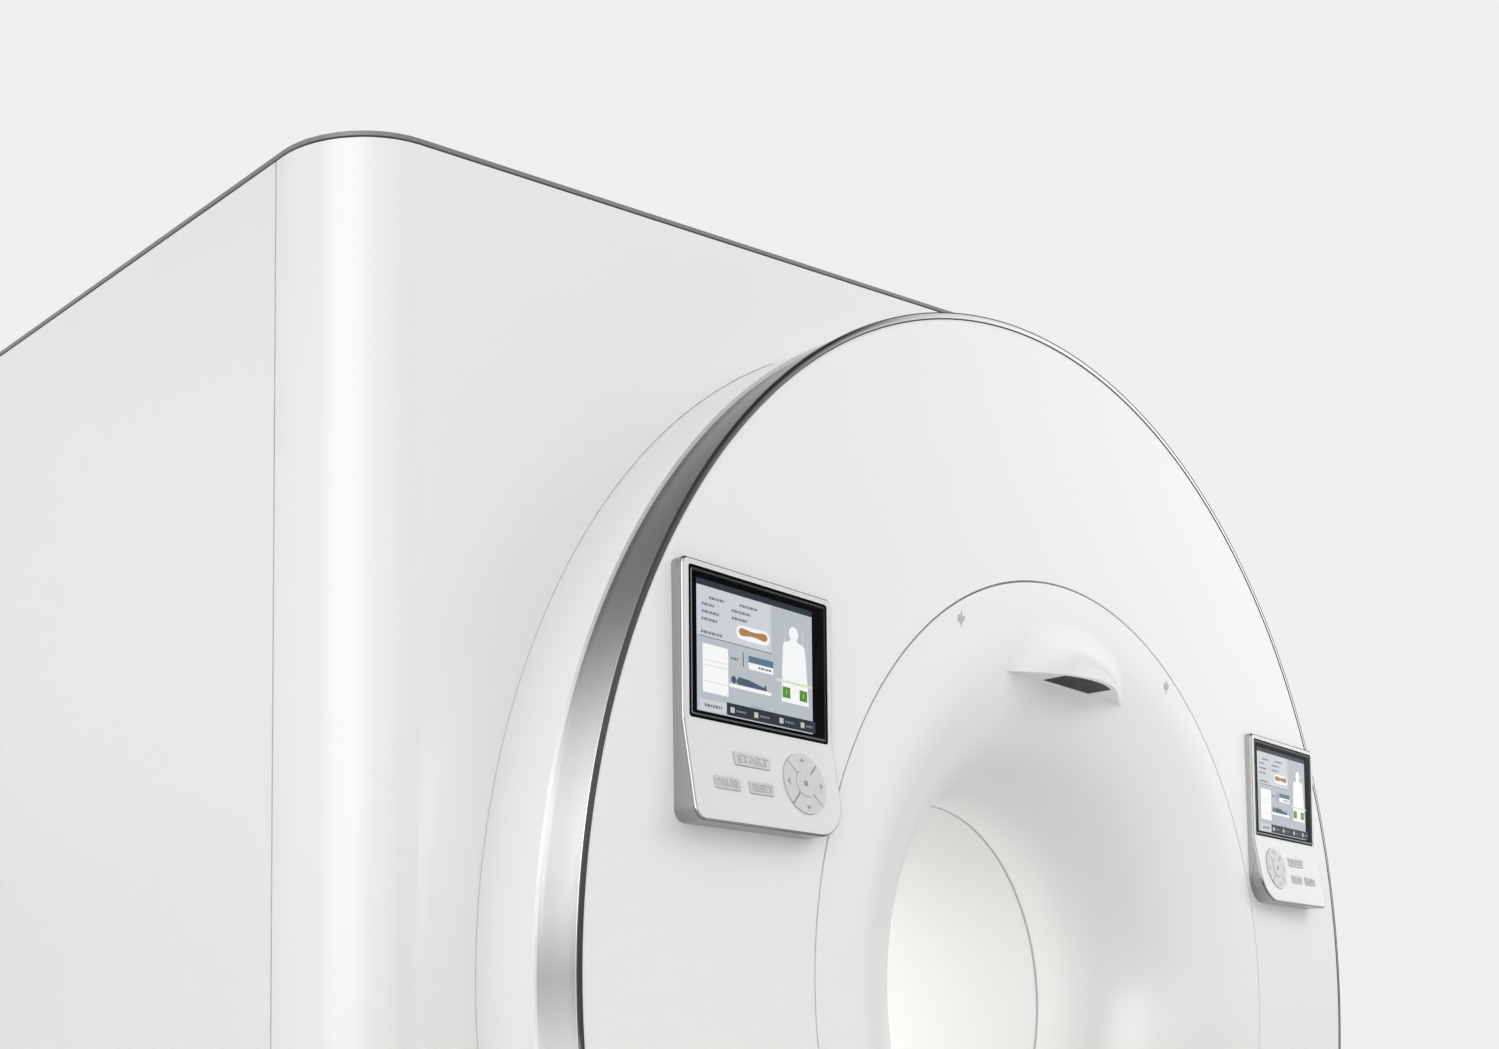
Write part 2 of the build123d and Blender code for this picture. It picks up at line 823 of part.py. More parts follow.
# Control panels: the two housings mirror each other, their screens and keys do not
keypad_slope = atan((panel_foot_proud - panel_proud) / keypad_height)
slope_length = keypad_height / cos(keypad_slope)
screen_plane_y = disc_front - panel_proud
for panel_name, side in (("left", -1), ("right", 1)):
    panel_x = side * panel_center_x
    back_plane = Plane(
        origin=(panel_x, face_back, panel_foot_z), x_dir=(1, 0, 0), z_dir=(0, -1, 0)
    )
    front_plane = Plane(
        origin=(panel_x, screen_plane_y, panel_foot_z), x_dir=(1, 0, 0), z_dir=(0, -1, 0)
    )
    key_plane = Plane(
        origin=(panel_x, disc_front - panel_foot_proud, panel_foot_z),
        x_dir=(1, 0, 0),
        z_dir=(0, -cos(keypad_slope), sin(keypad_slope)),
    )
    bezel_z = panel_height - bezel_top_margin - bezel_height / 2
    bezel_floor = -bezel_recess - bezel_thickness
    screen_x = -bezel_width / 2 + screen_left_margin + screen_width / 2
    screen_z = bezel_z - bezel_height / 2 + screen_bottom_margin + screen_height / 2
    pad_x = side * (panel_width / 2 - pad_from_outside)
    start_x = side * (panel_width / 2 - start_key_from_outside)
    outer_x = side * (panel_width / 2 - outer_key_from_outside)
    inner_x = side * (panel_width / 2 - inner_key_from_outside)
    keys = {
        "start_key": (start_x, start_key_rise, start_key_size),
        "pause_key": (min(outer_x, inner_x), small_key_rise, small_key_size),
        "reset_key": (max(outer_x, inner_x), small_key_rise, small_key_size),
    }

    with BuildPart() as housing:
        with BuildSketch(back_plane) as outline:
            draw_panel(outline, side, 0)
        extrude(amount=face_back - disc_front + 2 * panel_foot_proud)
        with BuildSketch(Plane.YZ.offset(panel_x - panel_width)):
            with BuildLine():
                Polyline(
                    (face_back, panel_foot_z),
                    (face_back, panel_foot_z + panel_height),
                    (screen_plane_y, panel_foot_z + panel_height),
                    (screen_plane_y, panel_foot_z + keypad_height),
                    (disc_front - panel_foot_proud, panel_foot_z),
                    close=True,
                )
            make_face()
        extrude(amount=2 * panel_width, mode=Mode.INTERSECT)
        fronts = housing.faces().filter_by(GeomType.PLANE).sort_by(Axis.Y)[:2]
        shared = fronts[0].edges() & fronts[1].edges()
        rim = [edge for face in fronts for edge in face.edges() if edge not in shared]
        fillet(rim, radius=panel_edge_radius)
        with BuildSketch(front_plane):
            with Locations((0, bezel_z)):
                RectangleRounded(
                    bezel_width + 2 * seat_gap,
                    bezel_height + 2 * seat_gap,
                    bezel_corner_radius + seat_gap,
                )
        extrude(amount=bezel_floor, mode=Mode.SUBTRACT)
        with BuildSketch(key_plane):
            for key_x, key_rise, key_size in keys.values():
                with Locations((key_x, key_rise)):
                    RectangleRounded(
                        key_size[0] + 2 * key_gap,
                        key_size[1] + 2 * key_gap,
                        key_corner_radius + key_gap,
                    )
            with Locations((pad_x, pad_rise)):
                Circle(pad_radius + key_gap)
        extrude(amount=-key_pocket_depth, mode=Mode.SUBTRACT)
    housing.part.label = f"{panel_name}_panel_housing"
    export_step(housing.part, f"parts/{panel_name}_panel_housing.step")

    # Bezel: the dark glass plate, hollowed for the lit screen
    with BuildPart() as bezel:
        with BuildSketch(front_plane.offset(bezel_floor)):
            with Locations((0, bezel_z)):
                RectangleRounded(bezel_width, bezel_height, bezel_corner_radius)
        extrude(amount=bezel_thickness)
        with BuildSketch(front_plane.offset(-bezel_recess)):
            with Locations((screen_x, screen_z)):
                Rectangle(screen_width + 2 * seat_gap, screen_height + 2 * seat_gap)
        extrude(amount=-screen_recess - screen_thickness, mode=Mode.SUBTRACT)
    bezel.part.label = f"{panel_name}_panel_bezel"
    export_step(bezel.part, f"parts/{panel_name}_panel_bezel.step")

    with BuildPart() as screen:
        with BuildSketch(
            front_plane.offset(-bezel_recess - screen_recess - screen_thickness)
        ):
            with Locations((screen_x, screen_z)):
                Rectangle(screen_width, screen_height)
        extrude(amount=screen_thickness)
    screen.part.label = f"{panel_name}_panel_screen"
    export_step(screen.part, f"parts/{panel_name}_panel_screen.step")

    key_floor = key_plane.offset(key_floor_gap - key_pocket_depth)
    key_height = key_pocket_depth - key_floor_gap + key_proud
    for key_name, (key_x, key_rise, key_size) in keys.items():
        with BuildPart() as key:
            with BuildSketch(key_floor):
                with Locations((key_x, key_rise)):
                    RectangleRounded(key_size[0], key_size[1], key_corner_radius)
            extrude(amount=key_height)
        key.part.label = f"{panel_name}_{key_name}"
        export_step(key.part, f"parts/{panel_name}_{key_name}.step")

    # Round pad: four sectors, parted by diagonal slits, round a centre key
    for turn, pad_name in ((0, "right"), (90, "up"), (180, "left"), (270, "down")):
        with BuildPart() as pad_key:
            with BuildSketch(key_floor):
                with Locations((pad_x, pad_rise)):
                    Circle(pad_radius)
                    Circle(pad_hub_radius + key_gap, mode=Mode.SUBTRACT)
                    Polygon(
                        (pad_split / sqrt(2), 0),
                        (2 * pad_radius, pad_split / sqrt(2) - 2 * pad_radius),
                        (2 * pad_radius, 2 * pad_radius - pad_split / sqrt(2)),
                        rotation=turn,
                        align=None,
                        mode=Mode.INTERSECT,
                    )
            extrude(amount=key_height)
        pad_key.part.label = f"{panel_name}_pad_{pad_name}"
        export_step(pad_key.part, f"parts/{panel_name}_pad_{pad_name}.step")

    with BuildPart() as hub:
        with BuildSketch(key_floor):
            with Locations((pad_x, pad_rise)):
                Circle(pad_hub_radius)
        extrude(amount=key_height - key_proud + pad_hub_proud)
    hub.part.label = f"{panel_name}_pad_centre"
    export_step(hub.part, f"parts/{panel_name}_pad_centre.step")

# Table: base plate with a floor duct to the gantry and the fixed half of the lift
plinth_front = body_front + plinth_inset
head_end = face_top - table_gap
foot_end_y = head_end - table_length
pedestal_y = head_end - pedestal_from_head
deck_top = runner_top - runner_height
deck_bottom = deck_top - deck_height
telescope = deck_bottom - base_plate_height
lift_stroke = (
    telescope - lower_shroud_headroom - upper_shroud_footroom - shroud_overlap
) / 2
lower_shroud_top = deck_bottom - lift_stroke - lower_shroud_headroom
upper_shroud_bottom = base_plate_height + lift_stroke + upper_shroud_footroom
cylinder_top = deck_bottom - lift_stroke - cylinder_headroom
ram_bottom = base_plate_height + lift_stroke + ram_footroom
base_length = pedestal_length + 2 * base_plate_margin
base_width = pedestal_width + 2 * base_plate_margin
with BuildPart() as table_base:
    with BuildSketch() as base_plan:
        with Locations((0, pedestal_y)):
            RectangleRounded(base_width, base_length, pedestal_corner_radius)
        with Locations((0, pedestal_y)):
            with GridLocations(
                base_width - 2 * base_anchor_inset,
                base_length - 4 * pedestal_corner_radius,
                2,
                2,
            ):
                Circle(anchor_hole_radius / 2, mode=Mode.SUBTRACT)
    extrude(amount=base_plate_height)
    with BuildSketch():
        with Locations((0, (pedestal_y + plinth_front) / 2)):
            Rectangle(floor_duct_width, plinth_front - pedestal_y)
    extrude(amount=floor_duct_height)
    with BuildSketch(Plane.XY.offset(base_plate_height)):
        with Locations((0, pedestal_y)):
            Circle(lift_bore_radius + lift_wall)
            Circle(lift_bore_radius, mode=Mode.SUBTRACT)
    extrude(amount=cylinder_top - base_plate_height)
table_base.part.label = "table_base"
export_step(table_base.part, "parts/table_base.step")


def shroud(width, length, low, high):
    """Upright rounded box without floor or lid, a pedestal wall thick."""
    with BuildSketch(Plane.XY.offset(low)) as plan:
        with Locations((0, pedestal_y)):
            RectangleRounded(width, length, pedestal_corner_radius)
            RectangleRounded(
                width - 2 * pedestal_wall,
                length - 2 * pedestal_wall,
                pedestal_corner_radius - pedestal_wall,
                mode=Mode.SUBTRACT,
            )
    extrude(plan.sketch, amount=high - low)


with BuildPart() as lower_shroud:
    shroud(
        pedestal_width,
        pedestal_length,
        base_plate_height,
        lower_shroud_top,
    )
lower_shroud.part.label = "lower_shroud"
export_step(lower_shroud.part, "parts/lower_shroud.step")

shroud_step = 2 * (pedestal_wall + shroud_gap)
with BuildPart() as upper_shroud:
    shroud(
        pedestal_width + shroud_step,
        pedestal_length + shroud_step,
        upper_shroud_bottom,
        deck_bottom,
    )
upper_shroud.part.label = "upper_shroud"
export_step(upper_shroud.part, "parts/upper_shroud.step")

with BuildPart() as lift_ram:
    with BuildSketch(Plane.XY.offset(ram_bottom)):
        with Locations((0, pedestal_y)):
            Circle(lift_bore_radius - lift_clearance)
    extrude(amount=deck_bottom - ram_bottom)
lift_ram.part.label = "lift_ram"
export_step(lift_ram.part, "parts/lift_ram.step")

# Deck with its two runners
with BuildPart() as table_deck:
    with BuildSketch(Plane.XY.offset(deck_bottom)) as deck_plan:
        with Locations((0, (head_end + foot_end_y) / 2)):
            Rectangle(deck_width, table_length)
        fillet(deck_plan.vertices().group_by(Axis.Y)[0], radius=deck_foot_radius)
        fillet(deck_plan.vertices().group_by(Axis.Y)[-1], radius=deck_edge_radius)
    extrude(amount=deck_height)
    fillet(table_deck.faces().sort_by(Axis.Z)[0].edges(), radius=deck_edge_radius)
    with BuildSketch(Plane.XY.offset(deck_top)):
        with Locations((0, (head_end + foot_end_y) / 2)):
            with GridLocations(runner_spacing, 1, 2, 1):
                Rectangle(runner_width, table_length - 2 * deck_foot_radius)
    extrude(amount=runner_height)
table_deck.part.label = "table_deck"
export_step(table_deck.part, "parts/table_deck.step")

# Table top: a long tray with a raised rim, and the mat that lies in it
with BuildPart() as table_top:
    with BuildSketch(Plane.XY.offset(top_height - top_thickness)):
        with Locations((0, (head_end + foot_end_y) / 2)):
            RectangleRounded(top_width, table_length, 2 * top_edge_radius)
    extrude(amount=top_thickness)
    fillet(table_top.faces().sort_by(Axis.Z)[0].edges(), radius=top_edge_radius)
    with BuildSketch(Plane.XY.offset(top_height)):
        with Locations((0, (head_end + foot_end_y) / 2)):
            RectangleRounded(
                top_width - 2 * top_rim,
                table_length - 2 * top_rim,
                top_edge_radius,
            )
    extrude(amount=-top_dish, mode=Mode.SUBTRACT)
table_top.part.label = "table_top"
export_step(table_top.part, "parts/table_top.step")

with BuildPart() as table_mat:
    with BuildSketch(Plane.XY.offset(top_height - top_dish + seat_gap)):
        with Locations((0, (head_end + foot_end_y) / 2)):
            RectangleRounded(
                top_width - 2 * (top_rim + seat_gap),
                table_length - 2 * (top_rim + seat_gap),
                top_edge_radius - seat_gap,
            )
    extrude(amount=mat_thickness)
    fillet(table_mat.faces().sort_by(Axis.Z)[-1].edges(), radius=top_edge_radius)
table_mat.part.label = "table_mat"
export_step(table_mat.part, "parts/table_mat.step")
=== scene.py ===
"""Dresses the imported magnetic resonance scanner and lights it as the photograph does.

Everything is in metres in the part's own frame: +X to the right seen from the table, +Y into
the bore, +Z up, the origin on the floor under the centre of the magnet.
"""

import json
import logging
import math
from dataclasses import dataclass, field
from enum import Enum
from typing import Callable, Dict, List, Mapping, Optional, Sequence, Tuple

import bpy
import numpy as np
from mathutils import Matrix, Vector

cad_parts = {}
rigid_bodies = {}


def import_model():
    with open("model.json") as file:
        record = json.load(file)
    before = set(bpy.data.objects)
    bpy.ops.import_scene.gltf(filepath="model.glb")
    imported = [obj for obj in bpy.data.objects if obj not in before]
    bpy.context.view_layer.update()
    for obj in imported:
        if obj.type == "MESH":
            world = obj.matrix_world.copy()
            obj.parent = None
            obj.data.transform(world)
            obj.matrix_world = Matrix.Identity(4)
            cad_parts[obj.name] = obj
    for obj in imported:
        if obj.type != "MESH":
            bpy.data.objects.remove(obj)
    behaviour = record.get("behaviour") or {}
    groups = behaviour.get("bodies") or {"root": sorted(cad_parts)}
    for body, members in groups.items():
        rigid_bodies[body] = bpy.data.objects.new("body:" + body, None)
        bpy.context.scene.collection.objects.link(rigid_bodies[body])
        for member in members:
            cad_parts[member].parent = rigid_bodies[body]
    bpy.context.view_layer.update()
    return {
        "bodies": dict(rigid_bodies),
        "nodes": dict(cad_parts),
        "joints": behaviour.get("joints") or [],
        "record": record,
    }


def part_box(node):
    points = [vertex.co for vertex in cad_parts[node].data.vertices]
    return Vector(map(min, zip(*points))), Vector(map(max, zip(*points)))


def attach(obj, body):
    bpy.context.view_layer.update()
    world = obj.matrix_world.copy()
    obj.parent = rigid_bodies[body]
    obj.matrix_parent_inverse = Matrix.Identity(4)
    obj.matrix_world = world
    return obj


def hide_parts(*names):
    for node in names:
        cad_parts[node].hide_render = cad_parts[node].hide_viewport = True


logging.basicConfig(level=logging.INFO, format="%(levelname)s %(message)s")
LOG = logging.getLogger("scanner")

Rgb = Tuple[float, float, float]
Socket = bpy.types.NodeSocket
Sockets = Mapping[str, Socket]

ISO = 1.070
GANTRY = "gantry"
Y_AXIS, Z_AXIS = 1, 2
SHARP_ANGLE = math.radians(32)


class Side(Enum):
    """Which side of the bore a panel is on."""

    LEFT = -1
    RIGHT = 1


class PadKey(Enum):
    """Keys of the round pad and the direction that each glyph points, in degrees."""

    RIGHT = 0
    UP = 90
    LEFT = 180
    DOWN = 270


# ---------------------------------------------------------------- meshes


def grid_faces(
    rows: int, cols: int, wrap_rows: bool = False, wrap_cols: bool = False
) -> np.ndarray:
    """Quads of a grid of points stored row by row.

    Args:
        rows: Number of rows of points.
        cols: Number of points in a row.
        wrap_rows: Whether the last row joins the first.
        wrap_cols: Whether each row closes on itself.

    Returns:
        Array of shape (faces, 4) of point numbers.
    """
    i = np.arange(rows if wrap_rows else rows - 1)[:, None]
    j = np.arange(cols if wrap_cols else cols - 1)[None, :]
    i_next, j_next = (i + 1) % rows, (j + 1) % cols
    quads = np.stack(
        [i * cols + j, i * cols + j_next, i_next * cols + j_next, i_next * cols + j], axis=-1
    )
    return quads.reshape(-1, 4)


def outward(points: np.ndarray, quads: np.ndarray) -> np.ndarray:
    """Turn the faces of a closed surface outwards, by the sign of its volume.

    Args:
        points: Array (n, 3) of corners.
        quads: Array (m, 4) of faces.

    Returns:
        The faces, flipped if the volume they enclose came out negative.
    """
    a, b, c, d = (points[quads[:, k]] for k in range(4))
    volume = np.einsum("ij,ij->i", a, np.cross(b, c)) + np.einsum("ij,ij->i", a, np.cross(c, d))
    return quads if volume.sum() > 0 else quads[:, ::-1]


def link_mesh(
    name: str, points: np.ndarray, faces: Sequence[Sequence[int]], finish: bpy.types.Material
) -> bpy.types.Object:
    """Make a flat-shaded mesh object of one material, linked to the scene, at the origin."""
    mesh = bpy.data.meshes.new(name)
    mesh.from_pydata(points.astype(float).tolist(), [], faces)
    mesh.materials.append(finish)
    piece = bpy.data.objects.new(name, mesh)
    bpy.context.scene.collection.objects.link(piece)
    return piece


def new_piece(
    name: str, points: np.ndarray, faces: np.ndarray, finish: bpy.types.Material
) -> bpy.types.Object:
    """Make a smooth-shaded mesh object with sharp edges where its faces turn sharply.

    Args:
        name: Name of the piece.
        points: Array (n, 3) of corners in metres.
        faces: Array (m, 3) or (m, 4) of corner numbers.
        finish: Material of the whole piece.

    Returns:
        The new object, linked to the scene, at the origin.
    """
    piece = link_mesh(name, points, faces.tolist(), finish)
    piece.data.validate()
    piece.data.shade_smooth()
    piece.data.set_sharp_from_angle(angle=SHARP_ANGLE)
    return piece


def turned_from(
    piece: bpy.types.Object, axis: int, count: Optional[int] = None
) -> bpy.types.Object:
    """Flip a sheet whose faces look along an axis, so that they look against it.

    Args:
        piece: The sheet.
        axis: Number of the axis.
        count: How many of its first faces are asked, all of them if None.

    Returns:
        The same piece.
    """
    normals = np.array([polygon.normal[:] for polygon in piece.data.polygons[:count]])
    if normals[:, axis].mean() > 0:
        piece.data.flip_normals()
    return piece


def rounded(
    corners: Sequence[Tuple[float, float]], radii: Sequence[float], steps: int = 6
) -> np.ndarray:
    """Closed outline with its corners rounded by arcs.

    Each corner is replaced by points of the circle that touches both of its sides: the arc's
    centre lies on the bisector, and its ends lie radius / tan(half angle) from the corner.

    Args:
        corners: Corners in order.
        radii: One radius for each corner, 0 for a sharp one.
        steps: Number of spans in each arc.

    Returns:
        Array (n, 2) of outline points.
    """
    ring = np.array(corners, float)
    before, after = np.roll(ring, 1, axis=0), np.roll(ring, -1, axis=0)
    outline: List[np.ndarray] = []
    for point, last, following, radius in zip(ring, before, after, radii):
        if radius <= 0:
            outline.append(point[None, :])
            continue
        u = (last - point) / np.linalg.norm(last - point)
        v = (following - point) / np.linalg.norm(following - point)
        half = 0.5 * math.acos(float(np.clip(u @ v, -1, 1)))
        bisector = (u + v) / np.linalg.norm(u + v)
        centre = point + bisector * radius / math.sin(half)
        start = point + u * radius / math.tan(half) - centre
        end = point + v * radius / math.tan(half) - centre
        sweep = math.acos(float(np.clip(start @ end / radius**2, -1, 1)))
        t = np.linspace(0, 1, steps + 1)[:, None]
        outline.append(
            centre + (np.sin((1 - t) * sweep) * start + np.sin(t * sweep) * end) / math.sin(sweep)
        )
    return np.concatenate(outline)


def superellipse_flare(
    mouth: float, throat: float, mouth_y: float, throat_y: float, spans: int = 72
) -> np.ndarray:
    """Profile of a flared mouth as (y, radius) points.

    A quarter of a superellipse of exponent 2.5: the radius falls from the mouth to the throat
    with sin(u) to the power 0.8 while the depth grows with 1 - cos(u) to the power 0.8.

    Args:
        mouth: Radius at the rim.
        throat: Radius of the bore.
        mouth_y: Depth of the rim.
        throat_y: Depth at which the flare meets the bore.
        spans: Number of spans.

    Returns:
        Array (spans + 1, 2).
    """
    u = np.linspace(0, 1, spans + 1) ** 1.4 * math.pi / 2
    radius = mouth - (mouth - throat) * np.sin(u) ** 0.8
    depth = mouth_y + (throat_y - mouth_y) * (1 - np.abs(np.cos(u)) ** 0.8)
    depth[-1] = throat_y
    return np.stack([depth, radius], axis=1)


def spun(
    name: str, profile: np.ndarray, finish: bpy.types.Material, segments: int = 384
) -> bpy.types.Object:
    """Closed ring: a closed (y, radius) profile turned about the bore's axis.

    A point is (radius cos a, y, height of the bore + radius sin a) for angle a all the way round.

    Args:
        name: Name of the piece.
        profile: Array (n, 2), closed, the last point not repeating the first.
        finish: Material.
        segments: Number of steps round the axis.

    Returns:
        The new object.
    """
    angle = np.linspace(0, 2 * math.pi, segments, endpoint=False)[:, None]
    y, radius = profile[None, :, 0], profile[None, :, 1]
    points = np.stack(
        [radius * np.cos(angle), y + 0 * angle, ISO + radius * np.sin(angle)], axis=-1
    ).reshape(-1, 3)
    quads = grid_faces(segments, len(profile), True, True)
    return new_piece(name, points, outward(points, quads), finish)


# ---------------------------------------------------------------- shader parts


class Wiring:
    """Short ways to place and join the nodes of one tree."""

    def __init__(self, tree: bpy.types.NodeTree) -> None:
        """Work on that tree."""
        self.tree = tree

    def feed(self, target: Socket, value: object) -> None:
        """Link a socket to an input, or set a plain value on it."""
        if isinstance(value, bpy.types.NodeSocket):
            self.tree.links.new(value, target)
        else:
            target.default_value = value

    def fill(self, placed: bpy.types.Node, **inputs: object) -> bpy.types.Node:
        """Feed a node's inputs by name, spaces written as underscores."""
        for key, value in inputs.items():
            self.feed(placed.inputs[key.replace("_", " ")], value)
        return placed

    def node(self, kind: str, **inputs: object) -> bpy.types.Node:
        """Add one shader node.

        Args:
            kind: Its type without the leading ShaderNode.
            **inputs: Sockets or plain values by input name, spaces written as underscores.

        Returns:
            The new node.
        """
        return self.fill(self.tree.nodes.new("ShaderNode" + kind), **inputs)

    def math(self, operation: str, *inputs: object) -> Socket:
        """Place one math node; each input is a socket or a plain number."""
        placed = self.node("Math")
        placed.operation = operation
        for target, value in zip(placed.inputs, inputs):
            self.feed(target, value)
        return placed.outputs["Value"]

    def noise(self, vector: Socket, scale: object, detail: float) -> Socket:
        """Noise read at a vector; the scale is a socket or a plain number."""
        return self.node("TexNoise", Vector=vector, Scale=scale, Detail=detail).outputs["Fac"]

    def ramp(self, factor: Socket, stops: Sequence[Tuple[float, Rgb]]) -> bpy.types.Node:
        """Colour ramp over a factor, with a place and a colour for each stop."""
        placed = self.node("ValToRGB", Fac=factor)
        elements = placed.color_ramp.elements
        while len(elements) < len(stops):
            elements.new(0.5)
        for element, (place, colour) in zip(elements, stops):
            element.position = place
            element.color = (*colour, 1)
        return placed


class Recipe(Wiring):
    """Node tree of one material while it is being put together."""

    def __init__(self, name: str) -> None:
        """Start an empty material of that name with its output and its Principled shader."""
        self.material = bpy.data.materials.new(name)
        self.material.use_nodes = True
        super().__init__(self.material.node_tree)
        self.tree.nodes.clear()
        self.shader = self.node("BsdfPrincipled")
        self.node("OutputMaterial", Surface=self.shader.outputs["BSDF"])
        self.coordinates = self.node("TexCoord").outputs

    def set(self, **values: object) -> None:
        """Feed the Principled shader's inputs, spaces written as underscores."""
        self.fill(self.shader, **values)

    def group(self, tree: bpy.types.NodeTree, **numbers: float) -> Sockets:
        """Place a shared group, feed it Object coordinates and set its own numbers.

        Args:
            tree: The shared node group.
            **numbers: Input values by socket name, spaces written as underscores.

        Returns:
            The group's outputs.
        """
        placed = self.node("Group")
        placed.node_tree = tree
        return self.fill(placed, Vector=self.coordinates["Object"], **numbers).outputs

    def mix(self, factor: Socket, first: Rgb, second: Rgb) -> Socket:
        """Colour between two plain colours, by a factor that changes over the surface."""
        blend = self.node("Mix")
        blend.data_type = "RGBA"
        return self.fill(blend, Factor=factor, A=(*first, 1), B=(*second, 1)).outputs["Result"]

    def gloss(self, source: Socket, roughness: Tuple[float, float]) -> None:
        """Roughness from the first value to the second as the source goes from 0 to 1."""
        low, high = roughness
        ranged = self.node("MapRange", Value=source, To_Min=low, To_Max=high)
        self.set(Roughness=ranged.outputs["Result"])

    def bump(self, height: Socket, distance: float) -> None:
        """Raise the surface by a height map, in metres, through the shader's Normal."""
        raised = self.node("Bump", Distance=distance, Strength=1.0, Height=height)
        self.set(Normal=raised.outputs["Normal"])


class SharedGroups:
    """Node groups that several finishes use, each built once."""

    def __init__(self) -> None:
        """Build every group."""
        self.grain = self._build("moulded_grain", self._grain, Scale=400.0, Drift=3.0)
        self.brushing = self._build("ring_brushing", self._brushing, Fineness=900.0)
        self.dust = self._build("settled_dust", self._dust, Patch=4.0)
        self.weave = self._build("vinyl_grain", self._weave, Scale=700.0)

    @staticmethod
    def _build(
        name: str, wire: Callable[[Wiring, Sockets], Tuple[Socket, Socket]], **numbers: float
    ) -> bpy.types.NodeTree:
        """Make one group with a Vector input, number inputs and the outputs Mask and Height.

        Args:
            name: Name of the group.
            wire: Function that wires the group's inputs up to its mask and its height.
            **numbers: Default of each number input.

        Returns:
            The node group.
        """
        tree = bpy.data.node_groups.new(name, "ShaderNodeTree")
        tree.interface.new_socket("Vector", in_out="INPUT", socket_type="NodeSocketVector")
        for key, value in numbers.items():
            socket = tree.interface.new_socket(key, in_out="INPUT", socket_type="NodeSocketFloat")
            socket.default_value = value
        for key in ("Mask", "Height"):
            tree.interface.new_socket(key, in_out="OUTPUT", socket_type="NodeSocketFloat")
        wiring = Wiring(tree)
        mask, height = wire(wiring, tree.nodes.new("NodeGroupInput").outputs)
        wiring.fill(tree.nodes.new("NodeGroupOutput"), Mask=mask, Height=height)
        return tree

    @staticmethod
    def _grain(wiring: Wiring, start: Sockets) -> Tuple[Socket, Socket]:
        """Slow drift of tone as the mask, fine orange peel as the height."""
        slow = wiring.noise(start["Vector"], start["Drift"], 3.0)
        return slow, wiring.noise(start["Vector"], start["Scale"], 2.0)

    @staticmethod
    def _brushing(wiring: Wiring, start: Sockets) -> Tuple[Socket, Socket]:
        """Lines that run round the bore: noise over the radius and the depth only."""
        split = wiring.node("SeparateXYZ", Vector=start["Vector"]).outputs
        across = wiring.math("SUBTRACT", split["Z"], ISO)
        flat = wiring.node("CombineXYZ", X=split["X"], Y=across)
        length = wiring.node("VectorMath")
        length.operation = "LENGTH"
        wiring.feed(length.inputs[0], flat.outputs["Vector"])
        lines = wiring.node("CombineXYZ", X=length.outputs["Value"], Y=split["Y"])
        fine = wiring.noise(lines.outputs["Vector"], start["Fineness"], 4.0)
        return wiring.noise(start["Vector"], 2.0, 2.0), fine

    @staticmethod
    def _dust(wiring: Wiring, start: Sockets) -> Tuple[Socket, Socket]:
        """Broken patches as the mask, specks as the height."""
        patch = wiring.noise(start["Vector"], start["Patch"], 6.0)
        cut = wiring.node("MapRange", From_Min=0.5, From_Max=0.75, Value=patch)
        return cut.outputs["Result"], wiring.noise(start["Vector"], 160.0, 5.0)

    @staticmethod
    def _weave(wiring: Wiring, start: Sockets) -> Tuple[Socket, Socket]:
        """Pebbled cells of a soft vinyl: distance to the nearest of scattered points."""
        cells = wiring.node("TexVoronoi", Vector=start["Vector"], Scale=start["Scale"])
        return wiring.noise(start["Vector"], 5.0, 3.0), cells.outputs["Distance"]


# ---------------------------------------------------------------- finishes


@dataclass(frozen=True)
class Finish:
    """A finish of the scanner, with the name of its material."""

    name: str

    def build(self, groups: SharedGroups) -> bpy.types.Material:
        """Make the material."""
        recipe = Recipe(self.name)
        self.wire(recipe, groups)
        return recipe.material

    def wire(self, recipe: Recipe, groups: SharedGroups) -> None:
        """Wire the shader up; every kind of finish has its own way.

        Args:
            recipe: The empty material.
            groups: The shared patterns.
        """
        raise NotImplementedError


@dataclass(frozen=True)
class MouldedPaint(Finish):
    """Satin paint on a moulding: two close tones, fine orange peel and a thin clear coat."""

    tone: Rgb
    shade: Rgb
    roughness: Tuple[float, float] = (0.3, 0.38)
    coat: float = 0.25
    peel: float = 0.00002

    def wire(self, recipe: Recipe, groups: SharedGroups) -> None:
        """Wire the shader up."""
        grain = recipe.group(groups.grain, Scale=380.0, Drift=1.6)
        recipe.set(Base_Color=recipe.mix(grain["Mask"], self.shade, self.tone))
        recipe.gloss(grain["Mask"], self.roughness)
        recipe.set(Coat_Weight=self.coat, Coat_Roughness=0.12, IOR=1.46)
        recipe.bump(grain["Height"], self.peel)


@dataclass(frozen=True)
class TurnedMetal(Finish):
    """Metal brushed round the bore."""

    tone: Rgb
    shade: Rgb
    roughness: Tuple[float, float]

    def wire(self, recipe: Recipe, groups: SharedGroups) -> None:
        """Wire the shader up."""
        lines = recipe.group(groups.brushing, Fineness=700.0)
        recipe.set(Base_Color=recipe.mix(lines["Height"], self.shade, self.tone), Metallic=1.0)
        recipe.gloss(lines["Height"], self.roughness)
        recipe.bump(lines["Height"], 0.000002)


